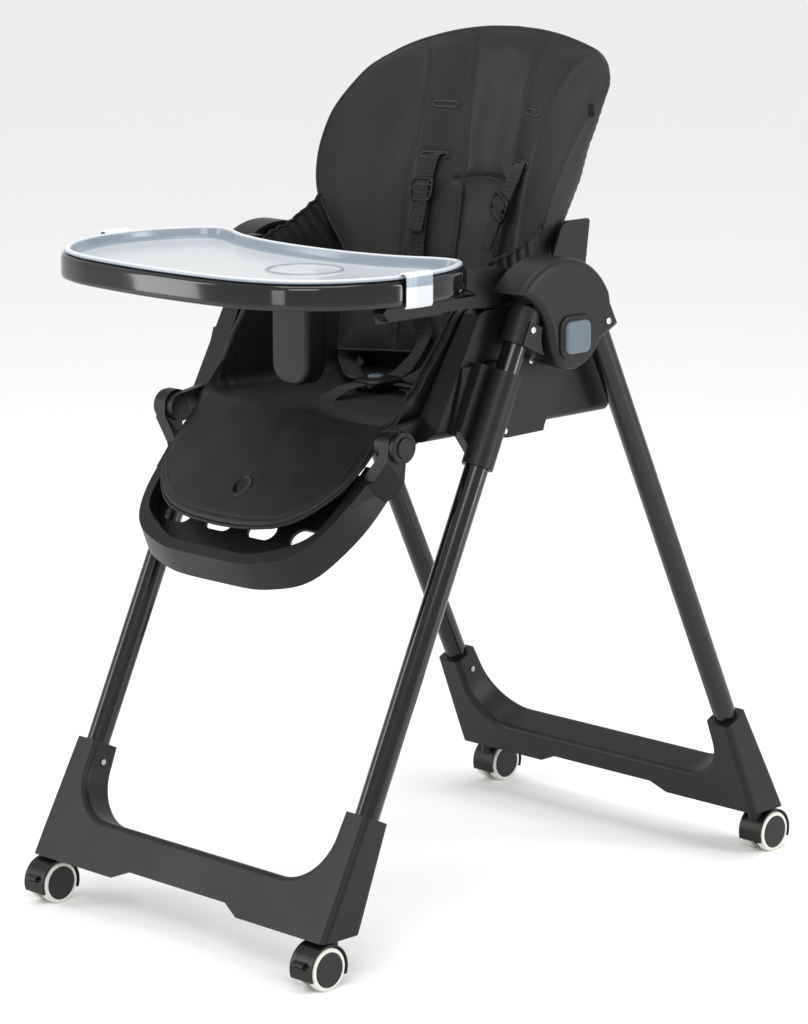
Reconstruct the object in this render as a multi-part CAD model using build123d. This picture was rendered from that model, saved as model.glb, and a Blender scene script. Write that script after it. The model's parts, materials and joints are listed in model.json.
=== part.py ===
from build123d import *
import os
from math import cos, hypot, radians, sin, tan

# A folding high chair on four braked or plain casters.
# The model is in millimetres, +Z up, with its front facing -Y.
# It is laid out from the fold axis, at y = 0, and moved at the end so that y = 0 is its middle.

# ---- driving dimensions -------------------------------------------------------------
# Legs
LEG_X = 231.0            # centre plane of each pair of legs
HUB_Z = 697.0            # height of the fold axis
LEG_OFFSET = 59.0        # distance from the fold axis to a leg's centre line
FRONT_LEAN = 25.0        # degrees off vertical
REAR_LEAN = 25.6
TUBE_D = 28.0
TUBE_WALL = 1.5
SOCKET_S = -596.0        # top of a foot's socket, along the leg from its point nearest the axis
JOINT_S = -472.0         # where the lower tube enters the upper one
TUBE_TOP_S = 6.0
FIT = 0.05               # running clearance on a radius
GAP = 0.4                # clearance between moulded parts

# Feet
SOCKET_D = 38.0
FOOT_BAR_S = -89.0       # crossbar's top edge, below the socket's top
FOOT_INNER_R = 60.0
FOOT_HALF_W = 252.0
FOOT_HALF_T = 27.0       # half thickness at the ground
FOOT_BASE_Z = 57.0
ARCH_RISE = 11.0
ARCH_HALF_W = 84.0
ARCH_RAMP = 26.0

# Casters
WHEEL_D = 50.0
WHEEL_TRAIL = 17.0
WHEEL_W = 13.0
WHEEL_GAP = 5.0          # from the caster's middle to a wheel's inner face
TYRE_T = 4.6
CASTER_AXLE_D = 6.0
STEM_D = 11.0
STEM_LENGTH = 20.0
HOOD_GAP = 1.4           # between the tyre and the hood
HOOD_T = 2.4

# Hub
HUB_INNER_X = 214.0
HUB_OUTER_X = 260.0
SHELL_WALL = 3.0
SHELL_R = 82.0
SHELL_CY = -12.0         # centre of the shell's crown, from the fold axis
SHELL_CZ = 7.0
HUB_DISC_R = 34.0
HUB_PIN_D = 12.0
COLLAR_LOW = 36.0        # how far the front collar reaches down its tube
COLLAR_CUT_R = 44.0      # the collar's outer half stays outside this radius
SWEEP_GAP = 1.5
BUTTON_W = 46.0
BUTTON_H = 44.0

# Carriage on the front legs
SLEEVE_TOP_S = -70.0
SLEEVE_LENGTH = 112.0
SLEEVE_D = 37.0
PLATE_INNER_X = 207.5
PLATE_T = 4.0

# Seat
SEAT_Z = 605.0           # top of the seat pad
SEAT_PAD_T = 13.0
SEAT_INNER_X = 157.0     # inside of the side pads, at the bottom
SEAT_FLARE = 12.0        # how much wider they are at the top
SEAT_FRONT_Y = -180.0
SEAT_REAR_Y = 66.0
SIDE_TOP_Z = 729.0
SHELL_OUTER_X = 206.0
SEAT_FLOOR_T = 4.0

# Footrest
FOOTREST_PIVOT_Y = -217.0
FOOTREST_PIVOT_Z = 586.5
FOOTREST_DROP = 43.5     # degrees below level
FOOTREST_HALF_W = 163.0
FOOTREST_LENGTH = 183.0  # from the pivot to the front edge
FOOTREST_DEPTH = 36.0
FOOTREST_RIM = 14.0
FOOTREST_FLOOR = 4.0
KNUCKLE_R = 20.0
LUG_X = 170.8            # inner face of the seat's footrest lug
LUG_T = 9.4
FOOTREST_ARM_T = 15.0
CALF_PAD_T = 14.0
KNOB_D = 37.0
BUTTON_R = 12.5          # release button in the knob
KNOB_TRAVEL = 4.0
STUB_R = 8.0

# Arms and tray
ARM_Y = -69.0
ARM_Z = 753.0
ARM_T = 17.0
ARM_BLOCK_R = 23.0
ARM_EAR_T = 6.0          # the seat's lug beside the arm
RAIL_FRONT_Y = -254.0
RAIL_Z = 734.0
RAIL_H = 13.0
TRAY_Z = 757.0
TRAY_H = 28.0
TRAY_WALL = 3.0
INSERT_INSET = 7.0
INSERT_WALL = 2.2
INSERT_DEPTH = 14.0
RIM_RISE = 6.0
POST_W = 60.0
POST_D = 31.0
POST_BOTTOM_Z = 632.0

# Backrest
HINGE_Y = 96.0
HINGE_Z = 613.0
BACK_FOOT_Y = 79.0       # pad's face on the centre line, at the seat's height
BACK_RAKE = 11.6         # degrees
BACK_TOP_Z = 1022.0
BACK_HALF_W = 202.5
BACK_WING = 112.0        # how far the sides come forward
BACK_WING_Z = 800.0      # height where the wings start to fade
BACK_FADE_Z = 1003.0
BACK_PAD_T = 26.0
BACK_SHELL_T = 4.0
SLOT_X = 73.0
SLOT_Z = (868.0, 928.0)
SLOT_W = 29.0
SLOT_H = 5.0
STRAP_W = 25.0
STRAP_T = 1.6

FRONT = Plane(
    origin=(0, -LEG_OFFSET * cos(radians(FRONT_LEAN)), HUB_Z + LEG_OFFSET * sin(radians(FRONT_LEAN))),
    x_dir=(1, 0, 0),
    z_dir=(0, sin(radians(FRONT_LEAN)), cos(radians(FRONT_LEAN))),
)
REAR = Plane(
    origin=(0, LEG_OFFSET * cos(radians(REAR_LEAN)), HUB_Z + LEG_OFFSET * sin(radians(REAR_LEAN))),
    x_dir=(1, 0, 0),
    z_dir=(0, -sin(radians(REAR_LEAN)), cos(radians(REAR_LEAN))),
)
SIDES = {"left": -1, "right": 1}
nodes = {}


# ---- helpers --------------------------------------------------------------------------
def side_plate(sketch, x0, x1):
    """A sketch of (y, z) points, made solid from x0 to x1."""
    return extrude(Plane.YZ.offset(x0) * sketch, x1 - x0, dir=(1, 0, 0))


def flat_plate(sketch, z0, z1):
    """A sketch of (x, y) points, made solid from z0 to z1."""
    return extrude(Plane.XY.offset(z0) * sketch, z1 - z0, dir=(0, 0, 1))


def front_plate(sketch, y0, y1):
    """A sketch of (x, z) points, made solid from y0 to y1."""
    plane = Plane(origin=(0, y0, 0), x_dir=(1, 0, 0), z_dir=(0, -1, 0))
    return extrude(plane * sketch, abs(y0 - y1), dir=(0, 1 if y1 > y0 else -1, 0))


def closed(*lines):
    """A face inside a closed run of lines and curves."""
    return make_face([edge for line in lines for edge in line.edges()])


def cross_rod(radius, x0, x1, y, z):
    """A round bar along X."""
    return Pos((x0 + x1) / 2, y, z) * Rot(0, 90, 0) * Cylinder(radius, abs(x1 - x0))


def on_side(shape, side):
    """A shape made for +X, on the asked side."""
    return shape if side > 0 else mirror(shape, Plane.YZ)


def both(shape):
    """A shape and its mirror image, as separate solids."""
    return Compound(shape.solids() + mirror(shape, Plane.YZ).solids())


def along_x(value, points):
    """Linear interpolation in a short list of (position, value) pairs."""
    for (p0, v0), (p1, v1) in zip(points[:-1], points[1:]):
        if value <= p1:
            return v0 + (v1 - v0) * (value - p0) / (p1 - p0)
    return points[-1][1]


# ---- legs and feet ----------------------------------------------------------------------
def tube(plane, s0, s1, outer_d, wall):
    ring = Circle(outer_d / 2) - Circle(outer_d / 2 - wall)
    return plane * Pos(LEG_X, 0, s0) * extrude(ring, s1 - s0)


def upper_tube(plane):
    return tube(plane, JOINT_S, TUBE_TOP_S, TUBE_D, TUBE_WALL)


def lower_tube(plane):
    """The lower tube, with a thinner spigot that slides into the upper one."""
    body = tube(plane, SOCKET_S - 70, JOINT_S - GAP, TUBE_D, TUBE_WALL)
    spigot_d = TUBE_D - 2 * TUBE_WALL - 2 * FIT
    spigot = tube(plane, JOINT_S - 12, JOINT_S + 60, spigot_d, TUBE_WALL)
    sleeve = tube(plane, JOINT_S - 12, JOINT_S - GAP, TUBE_D, (TUBE_D - spigot_d) / 2 + 0.2)
    return body + sleeve + spigot


def foot(plane):
    """A U-shaped moulding: two sockets, a crossbar with a thick base and a shallow arch below."""
    stem_y, _ = caster_place(plane)
    collar = SOCKET_D / 2
    bar = FOOT_BAR_S
    low = FOOT_BAR_S - 110
    outline = Polygon(
        (-LEG_X - collar, 0),
        (-FOOT_HALF_W, bar - 25),
        (-FOOT_HALF_W, low),
        (FOOT_HALF_W, low),
        (FOOT_HALF_W, bar - 25),
        (LEG_X + collar, 0),
        (LEG_X - collar, 0),
        (LEG_X - collar - 2, bar),
        (-LEG_X + collar + 2, bar),
        (-LEG_X + collar, 0),
        align=None,
    )
    inner = outline.vertices().filter_by(lambda v: abs(v.Y - bar) < 1 and abs(v.X) < LEG_X)
    outline = fillet(inner, FOOT_INNER_R)
    face_plane = Plane(plane.origin + plane.z_dir * SOCKET_S, x_dir=(1, 0, 0), z_dir=-plane.y_dir)
    body = extrude(face_plane * outline, FOOT_HALF_T + 5, both=True)
    wedge = Polygon(
        (-collar, 20),
        (collar, 20),
        (collar, 0),
        (FOOT_HALF_T, FOOT_BAR_S - 60),
        (FOOT_HALF_T, low),
        (-FOOT_HALF_T, low),
        (-FOOT_HALF_T, FOOT_BAR_S - 60),
        (-collar, 0),
        align=None,
    )
    wedge_plane = Plane(plane.origin + plane.z_dir * SOCKET_S, x_dir=plane.y_dir, z_dir=(1, 0, 0))
    body = body & extrude(wedge_plane * wedge, FOOT_HALF_W + 10, both=True)
    soft = body.edges().filter_by(lambda e: 8 < foot_edge_height(e, plane) < 190 and e.length > 9)
    body = fillet(soft, 7.5)
    ground = Pos(0, 0, FOOT_BASE_Z - 100) * Box(600, 1200, 200)
    body = body - ground
    for side in SIDES.values():
        bore = TUBE_D / 2 + FIT
        body = body - plane * Pos(side * LEG_X, 0, SOCKET_S - 35) * Cylinder(bore, 71)
        body = body - Pos(side * LEG_X, stem_y, FOOT_BASE_Z) * Cylinder(STEM_D / 2 + FIT, 2 * STEM_LENGTH + 4)
    arch = Polygon(
        (-ARCH_HALF_W - ARCH_RAMP, FOOT_BASE_Z - 1),
        (ARCH_HALF_W + ARCH_RAMP, FOOT_BASE_Z - 1),
        (ARCH_HALF_W, FOOT_BASE_Z + ARCH_RISE),
        (-ARCH_HALF_W, FOOT_BASE_Z + ARCH_RISE),
        align=None,
    )
    return body - front_plate(arch, 600, -600)


def foot_edge_height(edge, plane):
    """How far an edge's middle lies below the socket's top, along the leg."""
    middle = edge @ 0.5
    return -plane.to_local_coords(Vector(middle.X, middle.Y, middle.Z)).Z + SOCKET_S


def foot_screws(plane):
    """A cross-head screw on the inner side of each socket."""
    down = 22
    height = 1.6
    seat_x = LEG_X - SOCKET_D / 2 + 2 * down / FOOT_BAR_S - GAP / 2
    place = plane * Pos(seat_x - height / 2, 0, SOCKET_S - down)
    screw = place * Rot(0, 90, 0) * Cylinder(3.4, height)
    slot = place * Pos(-height / 2, 0, 0) * (Box(1.2, 4, 0.9) + Box(1.2, 0.9, 4))
    return both(screw - slot)


# ---- casters ----------------------------------------------------------------------------
def caster_place(plane):
    """Where a caster's stem stands on the ground plan, and which way its wheels trail."""
    drop = (plane.origin.Z - FOOT_BASE_Z) / plane.z_dir.Z
    stem_y = plane.origin.Y - plane.z_dir.Y * drop
    return stem_y, (-1 if stem_y < 0 else 1)


def caster_body(plane, side):
    """Hood and stem. The hood arches over both wheels, and its web between them holds the axle."""
    stem_y, way = caster_place(plane)
    wheel_y = stem_y + way * WHEEL_TRAIL
    reach = WHEEL_D / 2 + HOOD_GAP + HOOD_T
    centre = Pos(wheel_y, WHEEL_D / 2)
    below = Pos(wheel_y, WHEEL_D / 2 - 32) * Rectangle(4 * reach, 44)
    ring = centre * Circle(reach) - centre * Circle(WHEEL_D / 2 + HOOD_GAP) - below
    hood = side_plate(ring, -WHEEL_GAP - WHEEL_W + 1, WHEEL_GAP + WHEEL_W - 1)
    web_face = centre * Circle(reach) - below + centre * Circle(8)
    web = side_plate(web_face, -WHEEL_GAP + 0.6, WHEEL_GAP - 0.6)
    neck_z = FOOT_BASE_Z - GAP
    neck = Pos(0, stem_y, (40 + neck_z) / 2) * Cylinder(9.5, neck_z - 40)
    stem = Pos(0, stem_y, FOOT_BASE_Z + STEM_LENGTH / 2 - 1) * Cylinder(STEM_D / 2, STEM_LENGTH + 2)
    body = hood + web + neck + stem
    for x0 in (WHEEL_GAP - 0.2, -WHEEL_GAP - 40 + 0.2):
        body = body - cross_rod(WHEEL_D / 2 + HOOD_GAP, x0, x0 + 40, wheel_y, WHEEL_D / 2)
    if way < 0:
        body = body - pedal_space(stem_y, way)
    body = body - cross_rod(CASTER_AXLE_D / 2 + FIT, -10, 10, wheel_y, WHEEL_D / 2)
    return Pos(side * LEG_X, 0, 0) * body


def pedal_space(stem_y, way):
    """The notch in a front hood where the brake pedal sits."""
    y0 = stem_y + way * (WHEEL_TRAIL + 6)
    y1 = stem_y + way * (WHEEL_TRAIL + 60)
    return Pos(0, (y0 + y1) / 2, 44) * Box(18.8, abs(y1 - y0), 30)


def brake_pedal(side):
    """A curved pedal over the front of a front caster's hood, with a toe lip."""
    stem_y, way = caster_place(FRONT)
    wheel_y = stem_y + way * WHEEL_TRAIL
    centre = Pos(wheel_y, WHEEL_D / 2)
    reach = WHEEL_D / 2 + HOOD_GAP + HOOD_T
    band = centre * Circle(reach) - centre * Circle(WHEEL_D / 2 + HOOD_GAP)
    band = band & Pos(wheel_y - 31, 45) * Rectangle(48, 28)
    pad = side_plate(band, -9, 9)
    lip = Pos(0, wheel_y - reach - 1, 34.6) * Rot(24, 0, 0) * Box(17, 7, 4)
    return Pos(side * LEG_X, 0, 0) * (pad + fillet(lip.edges().filter_by(Axis.X), 1.2))


def caster_wheels(plane, side):
    """Twin wheel discs on one axle, with dished caps."""
    stem_y, way = caster_place(plane)
    centre = (stem_y + way * WHEEL_TRAIL, WHEEL_D / 2)
    disc = cross_rod(WHEEL_D / 2 - TYRE_T, WHEEL_GAP + 1.4, WHEEL_GAP + WHEEL_W, *centre)
    disc = fillet(disc.edges().filter_by(lambda e: e.center().X > WHEEL_GAP + WHEEL_W - 1), 1.6)
    axle = cross_rod(CASTER_AXLE_D / 2, -WHEEL_GAP - 3, WHEEL_GAP + 3, *centre)
    return Pos(side * LEG_X, 0, 0) * (disc + mirror(disc, Plane.YZ) + axle)


def caster_tyres(plane, side):
    """A soft ring round each wheel disc, with a rounded tread."""
    stem_y, way = caster_place(plane)
    centre = (stem_y + way * WHEEL_TRAIL, WHEEL_D / 2)
    ring = cross_rod(WHEEL_D / 2, WHEEL_GAP + 0.9, WHEEL_GAP + WHEEL_W - 0.6, *centre)
    ring = fillet(ring.edges().filter_by(GeomType.CIRCLE), 2.6)
    ring = ring - cross_rod(WHEEL_D / 2 - TYRE_T, 0, 40, *centre)
    return Pos(side * LEG_X, 0, 0) * both(ring)


# ---- fold hub ---------------------------------------------------------------------------
def hub_outline(share):
    """The rear shell's outline in (y, z): a round crown, a skirt down the rear leg and a lobe.

    It is drawn about the fold axis and shrunk towards it to the given share."""
    crown_left = (-88, 54)
    crown_top = (SHELL_CY, SHELL_CZ + SHELL_R)
    bump = (62, 42)
    skirt = (46, -12)
    face = closed(
        ThreePointArc(crown_left, (SHELL_CY - 46, SHELL_CZ + 72), crown_top),
        ThreePointArc(crown_top, (SHELL_CY + 56, SHELL_CZ + 59), bump),
        Polyline(bump, (64, 31), (78, 4), skirt),
        Spline(skirt, (30, -31), (2, -41), (-24, -32), (-36, -8), (-44, 18), (-62, 41), crown_left),
    )
    return Pos(0, HUB_Z) * scale(face, share)


def hub_shell():
    """Rear half of the hub: a cup over the front collar, and a collar round the rear tube."""
    body = side_plate(hub_outline(1.0), HUB_INNER_X, HUB_OUTER_X)
    outer = body.faces().sort_by(Axis.X)[-1].edges()
    body = fillet(outer, 9.0)
    inner = hub_outline(1 - SHELL_WALL / (SHELL_R - 9))
    body = body - side_plate(inner, HUB_INNER_X - 1, HUB_OUTER_X - 18)
    sleeve = REAR * Pos(LEG_X, 0, -14) * Cylinder(SOCKET_D / 2, 56)
    sleeve = sleeve & side_plate(hub_outline(1.0), HUB_INNER_X, HUB_OUTER_X)
    body = body + sleeve - REAR * Pos(LEG_X, 0, -30) * Cylinder(TUBE_D / 2 + FIT, 100)
    boss = cross_rod(14, LEG_X + 6.5, HUB_OUTER_X - 17, 0, HUB_Z)
    body = body + boss
    body = body - cross_rod(HUB_PIN_D / 2 + FIT, 200, HUB_OUTER_X - 14, 0, HUB_Z)
    return body - button_pocket() - front_sweep()


def front_sweep():
    """Opens the shell's front side, and hollows its face, where the front collar turns as the legs fold."""
    reach = hypot(LEG_OFFSET + SOCKET_D / 2, COLLAR_LOW) + SWEEP_GAP
    wedge = Polygon((0, 0), (-160, 130), (-200, 0), (-90, -160), align=None)
    whole = Pos(0, HUB_Z) * (Circle(reach) & wedge)
    ring = Pos(0, HUB_Z) * ((Circle(reach) - Circle(COLLAR_CUT_R - SWEEP_GAP)) & wedge)
    shallow = side_plate(whole, HUB_INNER_X - 1, LEG_X + 6.4)
    below = Pos(0, HUB_Z) * (Circle(COLLAR_CUT_R + 4) & Polygon((0, 0), (-90, -160), (14, -160), align=None))
    shallow = shallow + side_plate(below, HUB_INNER_X - 1, LEG_X + 6.4)
    return shallow + side_plate(ring, HUB_INNER_X - 1, LEG_X + SOCKET_D / 2 + 0.8)


def button_pocket():
    face = Pos(0, HUB_Z - 2) * RectangleRounded(BUTTON_W - 6 + 2 * GAP, BUTTON_H - 6 + 2 * GAP, 9)
    return side_plate(face, HUB_OUTER_X - 12, HUB_OUTER_X + 5)


def button_bezel():
    """Raised square surround of the fold button."""
    face = Pos(0, HUB_Z - 2) * RectangleRounded(BUTTON_W + 7, BUTTON_H + 7, 15)
    inner = Pos(0, HUB_Z - 2) * RectangleRounded(BUTTON_W - 6 + 2 * GAP, BUTTON_H - 6 + 2 * GAP, 9)
    body = side_plate(face, HUB_OUTER_X, HUB_OUTER_X + 3.5)
    body = fillet(body.faces().sort_by(Axis.X)[-1].edges(), 2.2)
    return body - side_plate(inner, HUB_OUTER_X - 1, HUB_OUTER_X + 5)


def fold_button():
    """Crowned rounded-square push button, with a stem inside the hub."""
    face = Pos(0, HUB_Z - 2) * RectangleRounded(BUTTON_W - 6, BUTTON_H - 6, 8.7)
    body = side_plate(face, HUB_OUTER_X - 6, HUB_OUTER_X + 8)
    return fillet(body.faces().sort_by(Axis.X)[-1].edges(), 3.5)


def hub_collar():
    """Front half of the hub: a collar round the front tube, joined to a disc on the fold axis."""
    collar = FRONT * Pos(LEG_X, 0, -14) * Cylinder(SOCKET_D / 2, 44)
    disc = cross_rod(HUB_DISC_R, HUB_INNER_X + 1, LEG_X + 6, 0, HUB_Z)
    web_s = [(-2, -6), (-2, -COLLAR_LOW), (LEG_OFFSET - 6, -COLLAR_LOW), (LEG_OFFSET - 16, -6)]
    web_plane = Plane(origin=FRONT.origin, x_dir=FRONT.y_dir, z_dir=(1, 0, 0))
    web = extrude(web_plane.offset(HUB_INNER_X + 1) * Polygon(*web_s, align=None), 22, dir=(1, 0, 0))
    skirt_s = [(-8, -8), (-8, -COLLAR_LOW), (36, -COLLAR_LOW), (30, -8)]
    skirt = extrude(web_plane.offset(LEG_X) * Polygon(*skirt_s, align=None), SOCKET_D / 2 + 0.6, dir=(1, 0, 0))
    body = collar + disc + web + (skirt - cross_rod(COLLAR_CUT_R + 2, LEG_X, 300, 0, HUB_Z))
    body = body - cross_rod(COLLAR_CUT_R, LEG_X + 6, 300, 0, HUB_Z)
    body = body - FRONT * Pos(LEG_X, 0, -30) * Cylinder(TUBE_D / 2 + FIT, 100)
    return body - cross_rod(HUB_PIN_D / 2 + FIT, 200, 300, 0, HUB_Z)


def hub_pin():
    pin = cross_rod(HUB_PIN_D / 2, HUB_INNER_X - 1, HUB_OUTER_X - 15, 0, HUB_Z)
    head = cross_rod(HUB_PIN_D / 2 + 4, HUB_INNER_X - 1.8, HUB_INNER_X + 0.9, 0, HUB_Z)
    return pin + head


def rivet(x, y, z, radius):
    """A domed head standing proud of a face at x."""
    dome = Pos(x, y, z) * Rot(0, 90, 0) * Cylinder(radius, 2.0, align=(Align.CENTER, Align.CENTER, Align.MIN))
    return fillet(dome.edges().sort_by(Axis.X)[-1], 1.4)


# ---- carriage and seat shell ------------------------------------------------------------
def carriage():
    """Sleeve that slides on a front tube, with the plate that carries the seat's side."""
    sleeve_middle = SLEEVE_TOP_S - SLEEVE_LENGTH / 2
    sleeve = FRONT * Pos(LEG_X, 0, sleeve_middle) * Cylinder(SLEEVE_D / 2, SLEEVE_LENGTH)
    web_plane = Plane(origin=FRONT.origin, x_dir=FRONT.y_dir, z_dir=(1, 0, 0))
    low = SLEEVE_TOP_S - SLEEVE_LENGTH
    flange = Polygon((-33, SLEEVE_TOP_S), (0, SLEEVE_TOP_S), (0, low + 12), (-33, low + 30), align=None)
    flange = extrude(web_plane.offset(PLATE_INNER_X) * flange, 14, dir=(1, 0, 0))
    heel = Polygon((0, SLEEVE_TOP_S - 6), (24, SLEEVE_TOP_S - 10), (27, low + 6), (0, low), align=None)
    heel = extrude(web_plane.offset(PLATE_INNER_X) * heel, 13, dir=(1, 0, 0))
    plate = closed(
        Polyline((-130, 668), (-152, 594), (-60, 579), (0, 580)),
        Spline((0, 580), (12, 603), (34, 630), (43, 652), (46, 672)),
        Line((46, 672), (-130, 668)),
    )
    body = sleeve + flange + heel + side_plate(plate, PLATE_INNER_X, PLATE_INNER_X + PLATE_T)
    bore = FRONT * Pos(LEG_X, 0, sleeve_middle) * Cylinder(TUBE_D / 2 + FIT, SLEEVE_LENGTH + 80)
    return body - bore


def carriage_rivets():
    low = rivet(PLATE_INNER_X + 13, -74, 590, 3.6)
    high = rivet(PLATE_INNER_X + PLATE_T, -22, 664, 3.6)
    return both(low + high)


def seat_side_outline():
    return Polygon(
        (-186, 587),
        (-168, 601),
        (-101, SIDE_TOP_Z - 4),
        (-92, SIDE_TOP_Z),
        (8, SIDE_TOP_Z),
        (52, 690),
        (SEAT_REAR_Y + 52, 640),
        (SEAT_REAR_Y + 52, 587),
        align=None,
    )


def seat_wall_x(z, extra):
    """Inside of the seat's side at a height, moved outwards by extra."""
    return SEAT_INNER_X + SEAT_FLARE * (z - SEAT_Z) / (SIDE_TOP_Z - SEAT_Z) + extra


def u_section(low_z, high_z, extra):
    """Upright U profile in (x, z), open at the top, that follows the seat's inside."""
    low, high = seat_wall_x(low_z, extra), seat_wall_x(high_z, extra)
    face = Polygon((-high, high_z), (-low, low_z), (low, low_z), (high, high_z), align=None)
    return fillet(face.vertices().group_by(Axis.Y)[0], 14)


def seat_shell():
    """Moulded bucket: a floor, hollow sides with a broad front flange, and lugs for the pivots."""
    pad_gap = SEAT_PAD_T + GAP
    floor_top = SEAT_Z - pad_gap
    floor_low = floor_top - SEAT_FLOOR_T
    width = 2 * SHELL_OUTER_X
    block = Pos(0, (floor_low + SIDE_TOP_Z) / 2) * Rectangle(width, SIDE_TOP_Z - floor_low)
    block = fillet(block.vertices().group_by(Axis.Y)[0], 12)
    block = block - u_section(floor_top, SIDE_TOP_Z + 10, pad_gap)
    body = front_plate(block, SEAT_REAR_Y + 60, -200)
    body = body & side_plate(seat_side_outline(), -SHELL_OUTER_X - 5, SHELL_OUTER_X + 5)
    pocket = Polygon(
        (SHELL_OUTER_X - 3, SIDE_TOP_Z - 3),
        (SHELL_OUTER_X - 3, floor_low + 14),
        (seat_wall_x(floor_low + 14, pad_gap + 3), floor_low + 14),
        (seat_wall_x(SIDE_TOP_Z - 3, pad_gap + 3), SIDE_TOP_Z - 3),
        align=None,
    )
    pocket = front_plate(pocket, SEAT_REAR_Y + 80, -92)
    body = body - pocket - mirror(pocket, Plane.YZ)
    lug = Pos(FOOTREST_PIVOT_Y, FOOTREST_PIVOT_Z) * Circle(KNUCKLE_R - 3)
    strap = Polygon((FOOTREST_PIVOT_Y, 570), (-160, 588), (-160, 612), (FOOTREST_PIVOT_Y, 603), align=None)
    ears = side_plate(lug + strap, LUG_X, LUG_X + LUG_T)
    ears = ears - cross_rod(STUB_R + FIT, 100, 300, FOOTREST_PIVOT_Y, FOOTREST_PIVOT_Z)
    arm_lug = Pos(ARM_Y, ARM_Z) * Circle(18)
    arm_lug = arm_lug + Polygon((ARM_Y - 18, ARM_Z), (ARM_Y + 18, ARM_Z), (ARM_Y + 26, 722), (ARM_Y - 26, 722), align=None)
    arm_x = SHELL_OUTER_X - ARM_T - GAP
    arm_ear = side_plate(arm_lug, arm_x - ARM_EAR_T, arm_x)
    arm_ear = arm_ear - cross_rod(5 + FIT, 100, 300, ARM_Y, ARM_Z)
    hinge_lug = Pos(HINGE_Y, HINGE_Z) * Circle(15) + Polygon((70, 587), (118, 587), (118, 606), (72, 620), align=None)
    hinge_ear = side_plate(hinge_lug, 150, 158)
    hinge_ear = hinge_ear - cross_rod(5 + FIT, 100, 300, HINGE_Y, HINGE_Z)
    return body + both_fused(ears) + both_fused(arm_ear) + both_fused(hinge_ear)


def both_fused(shape):
    return shape + mirror(shape, Plane.YZ)


def pad_side_outline():
    """The seat pad's outline from the side; its front edge clears the turning calf pad."""
    return Polygon(
        (SEAT_FRONT_Y - 14, SEAT_Z - SEAT_PAD_T),
        (SEAT_FRONT_Y - 6, SEAT_Z + 7),
        (-159, 640),
        (-121, 694),
        (-99, SIDE_TOP_Z - 2),
        (-30, SIDE_TOP_Z + 12),
        (5, SIDE_TOP_Z + 12),
        (46, 692),
        (SEAT_REAR_Y - 4, 640),
        (SEAT_REAR_Y, SEAT_Z - SEAT_PAD_T),
        align=None,
    )


def seat_pad():
    outer = u_section(SEAT_Z - SEAT_PAD_T, SIDE_TOP_Z + 14, SEAT_PAD_T - 1)
    inner = u_section(SEAT_Z, SIDE_TOP_Z + 20, 0)
    body = front_plate(outer - inner, SEAT_REAR_Y, SEAT_FRONT_Y - 16)
    return body & side_plate(pad_side_outline(), -230, 230)


def recline_pin():
    pin = cross_rod(5, -159, 159, HINGE_Y, HINGE_Z)
    cap = cross_rod(8, 158.2, 161.5, HINGE_Y, HINGE_Z)
    return pin + cap + mirror(cap, Plane.YZ)


# ---- footrest ---------------------------------------------------------------------------
def footrest_plane():
    """Origin on the pivot axis; local +Y points back up the footrest, local +Z out of its face."""
    drop = radians(FOOTREST_DROP)
    return Plane(
        origin=(0, FOOTREST_PIVOT_Y, FOOTREST_PIVOT_Z),
        x_dir=(1, 0, 0),
        z_dir=(0, -sin(drop), cos(drop)),
    )


RIM_H = -13.6            # the rim's height over the pivot axis, square to the footrest
RIM_START = 49.0         # where the tray part begins, along the footrest from the pivot


def footrest_outline(inset, spread):
    """Closed outline of the tray part: straight sides, a broad rounded front."""
    w = FOOTREST_HALF_W - inset + spread
    front = FOOTREST_LENGTH - inset + spread
    side = [(w, -RIM_START + 24), (w - 2, -RIM_START - 40), (w - 13, -RIM_START - 80)]
    nose = [(w * 0.785, -front + 24), (w * 0.55, -front + 7), (0, -front)]
    right = Spline(*side, *nose, tangents=[(0, -1), (-1, 0)])
    return closed(right, mirror(right, Plane.YZ), Line(side[0], (-side[0][0], side[0][1])))


def footrest_frame():
    """A shallow tray with a thick rim, four drain holes, and two arms up to the pivots."""
    plane = footrest_plane()
    top = Pos(0, 0, RIM_H) * footrest_outline(0, 0)
    low = Pos(0, 0, RIM_H - FOOTREST_DEPTH) * footrest_outline(0, 9)
    body = loft([top, low])
    well = Pos(0, 0, RIM_H - 22) * extrude(footrest_outline(FOOTREST_RIM, 0), 60, dir=(0, 0, 1))
    open_end = Pos(0, -RIM_START + 60, RIM_H + 8) * Box(2 * (FOOTREST_HALF_W - FOOTREST_RIM), 130, 60)
    under = Pos(0, 0, RIM_H - 22 - FOOTREST_FLOOR) * extrude(footrest_outline(FOOTREST_RIM, 4), 60, dir=(0, 0, -1))
    body = body - well - open_end - under
    for x in (-106.5, -35.5, 35.5, 106.5):
        slot = SlotOverall(44, 25)
        body = body - Pos(x, -RIM_START - 72, RIM_H - 40) * extrude(slot, 60, dir=(0, 0, 1))
    body = body + both_fused(footrest_arm())
    return plane * body


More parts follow.
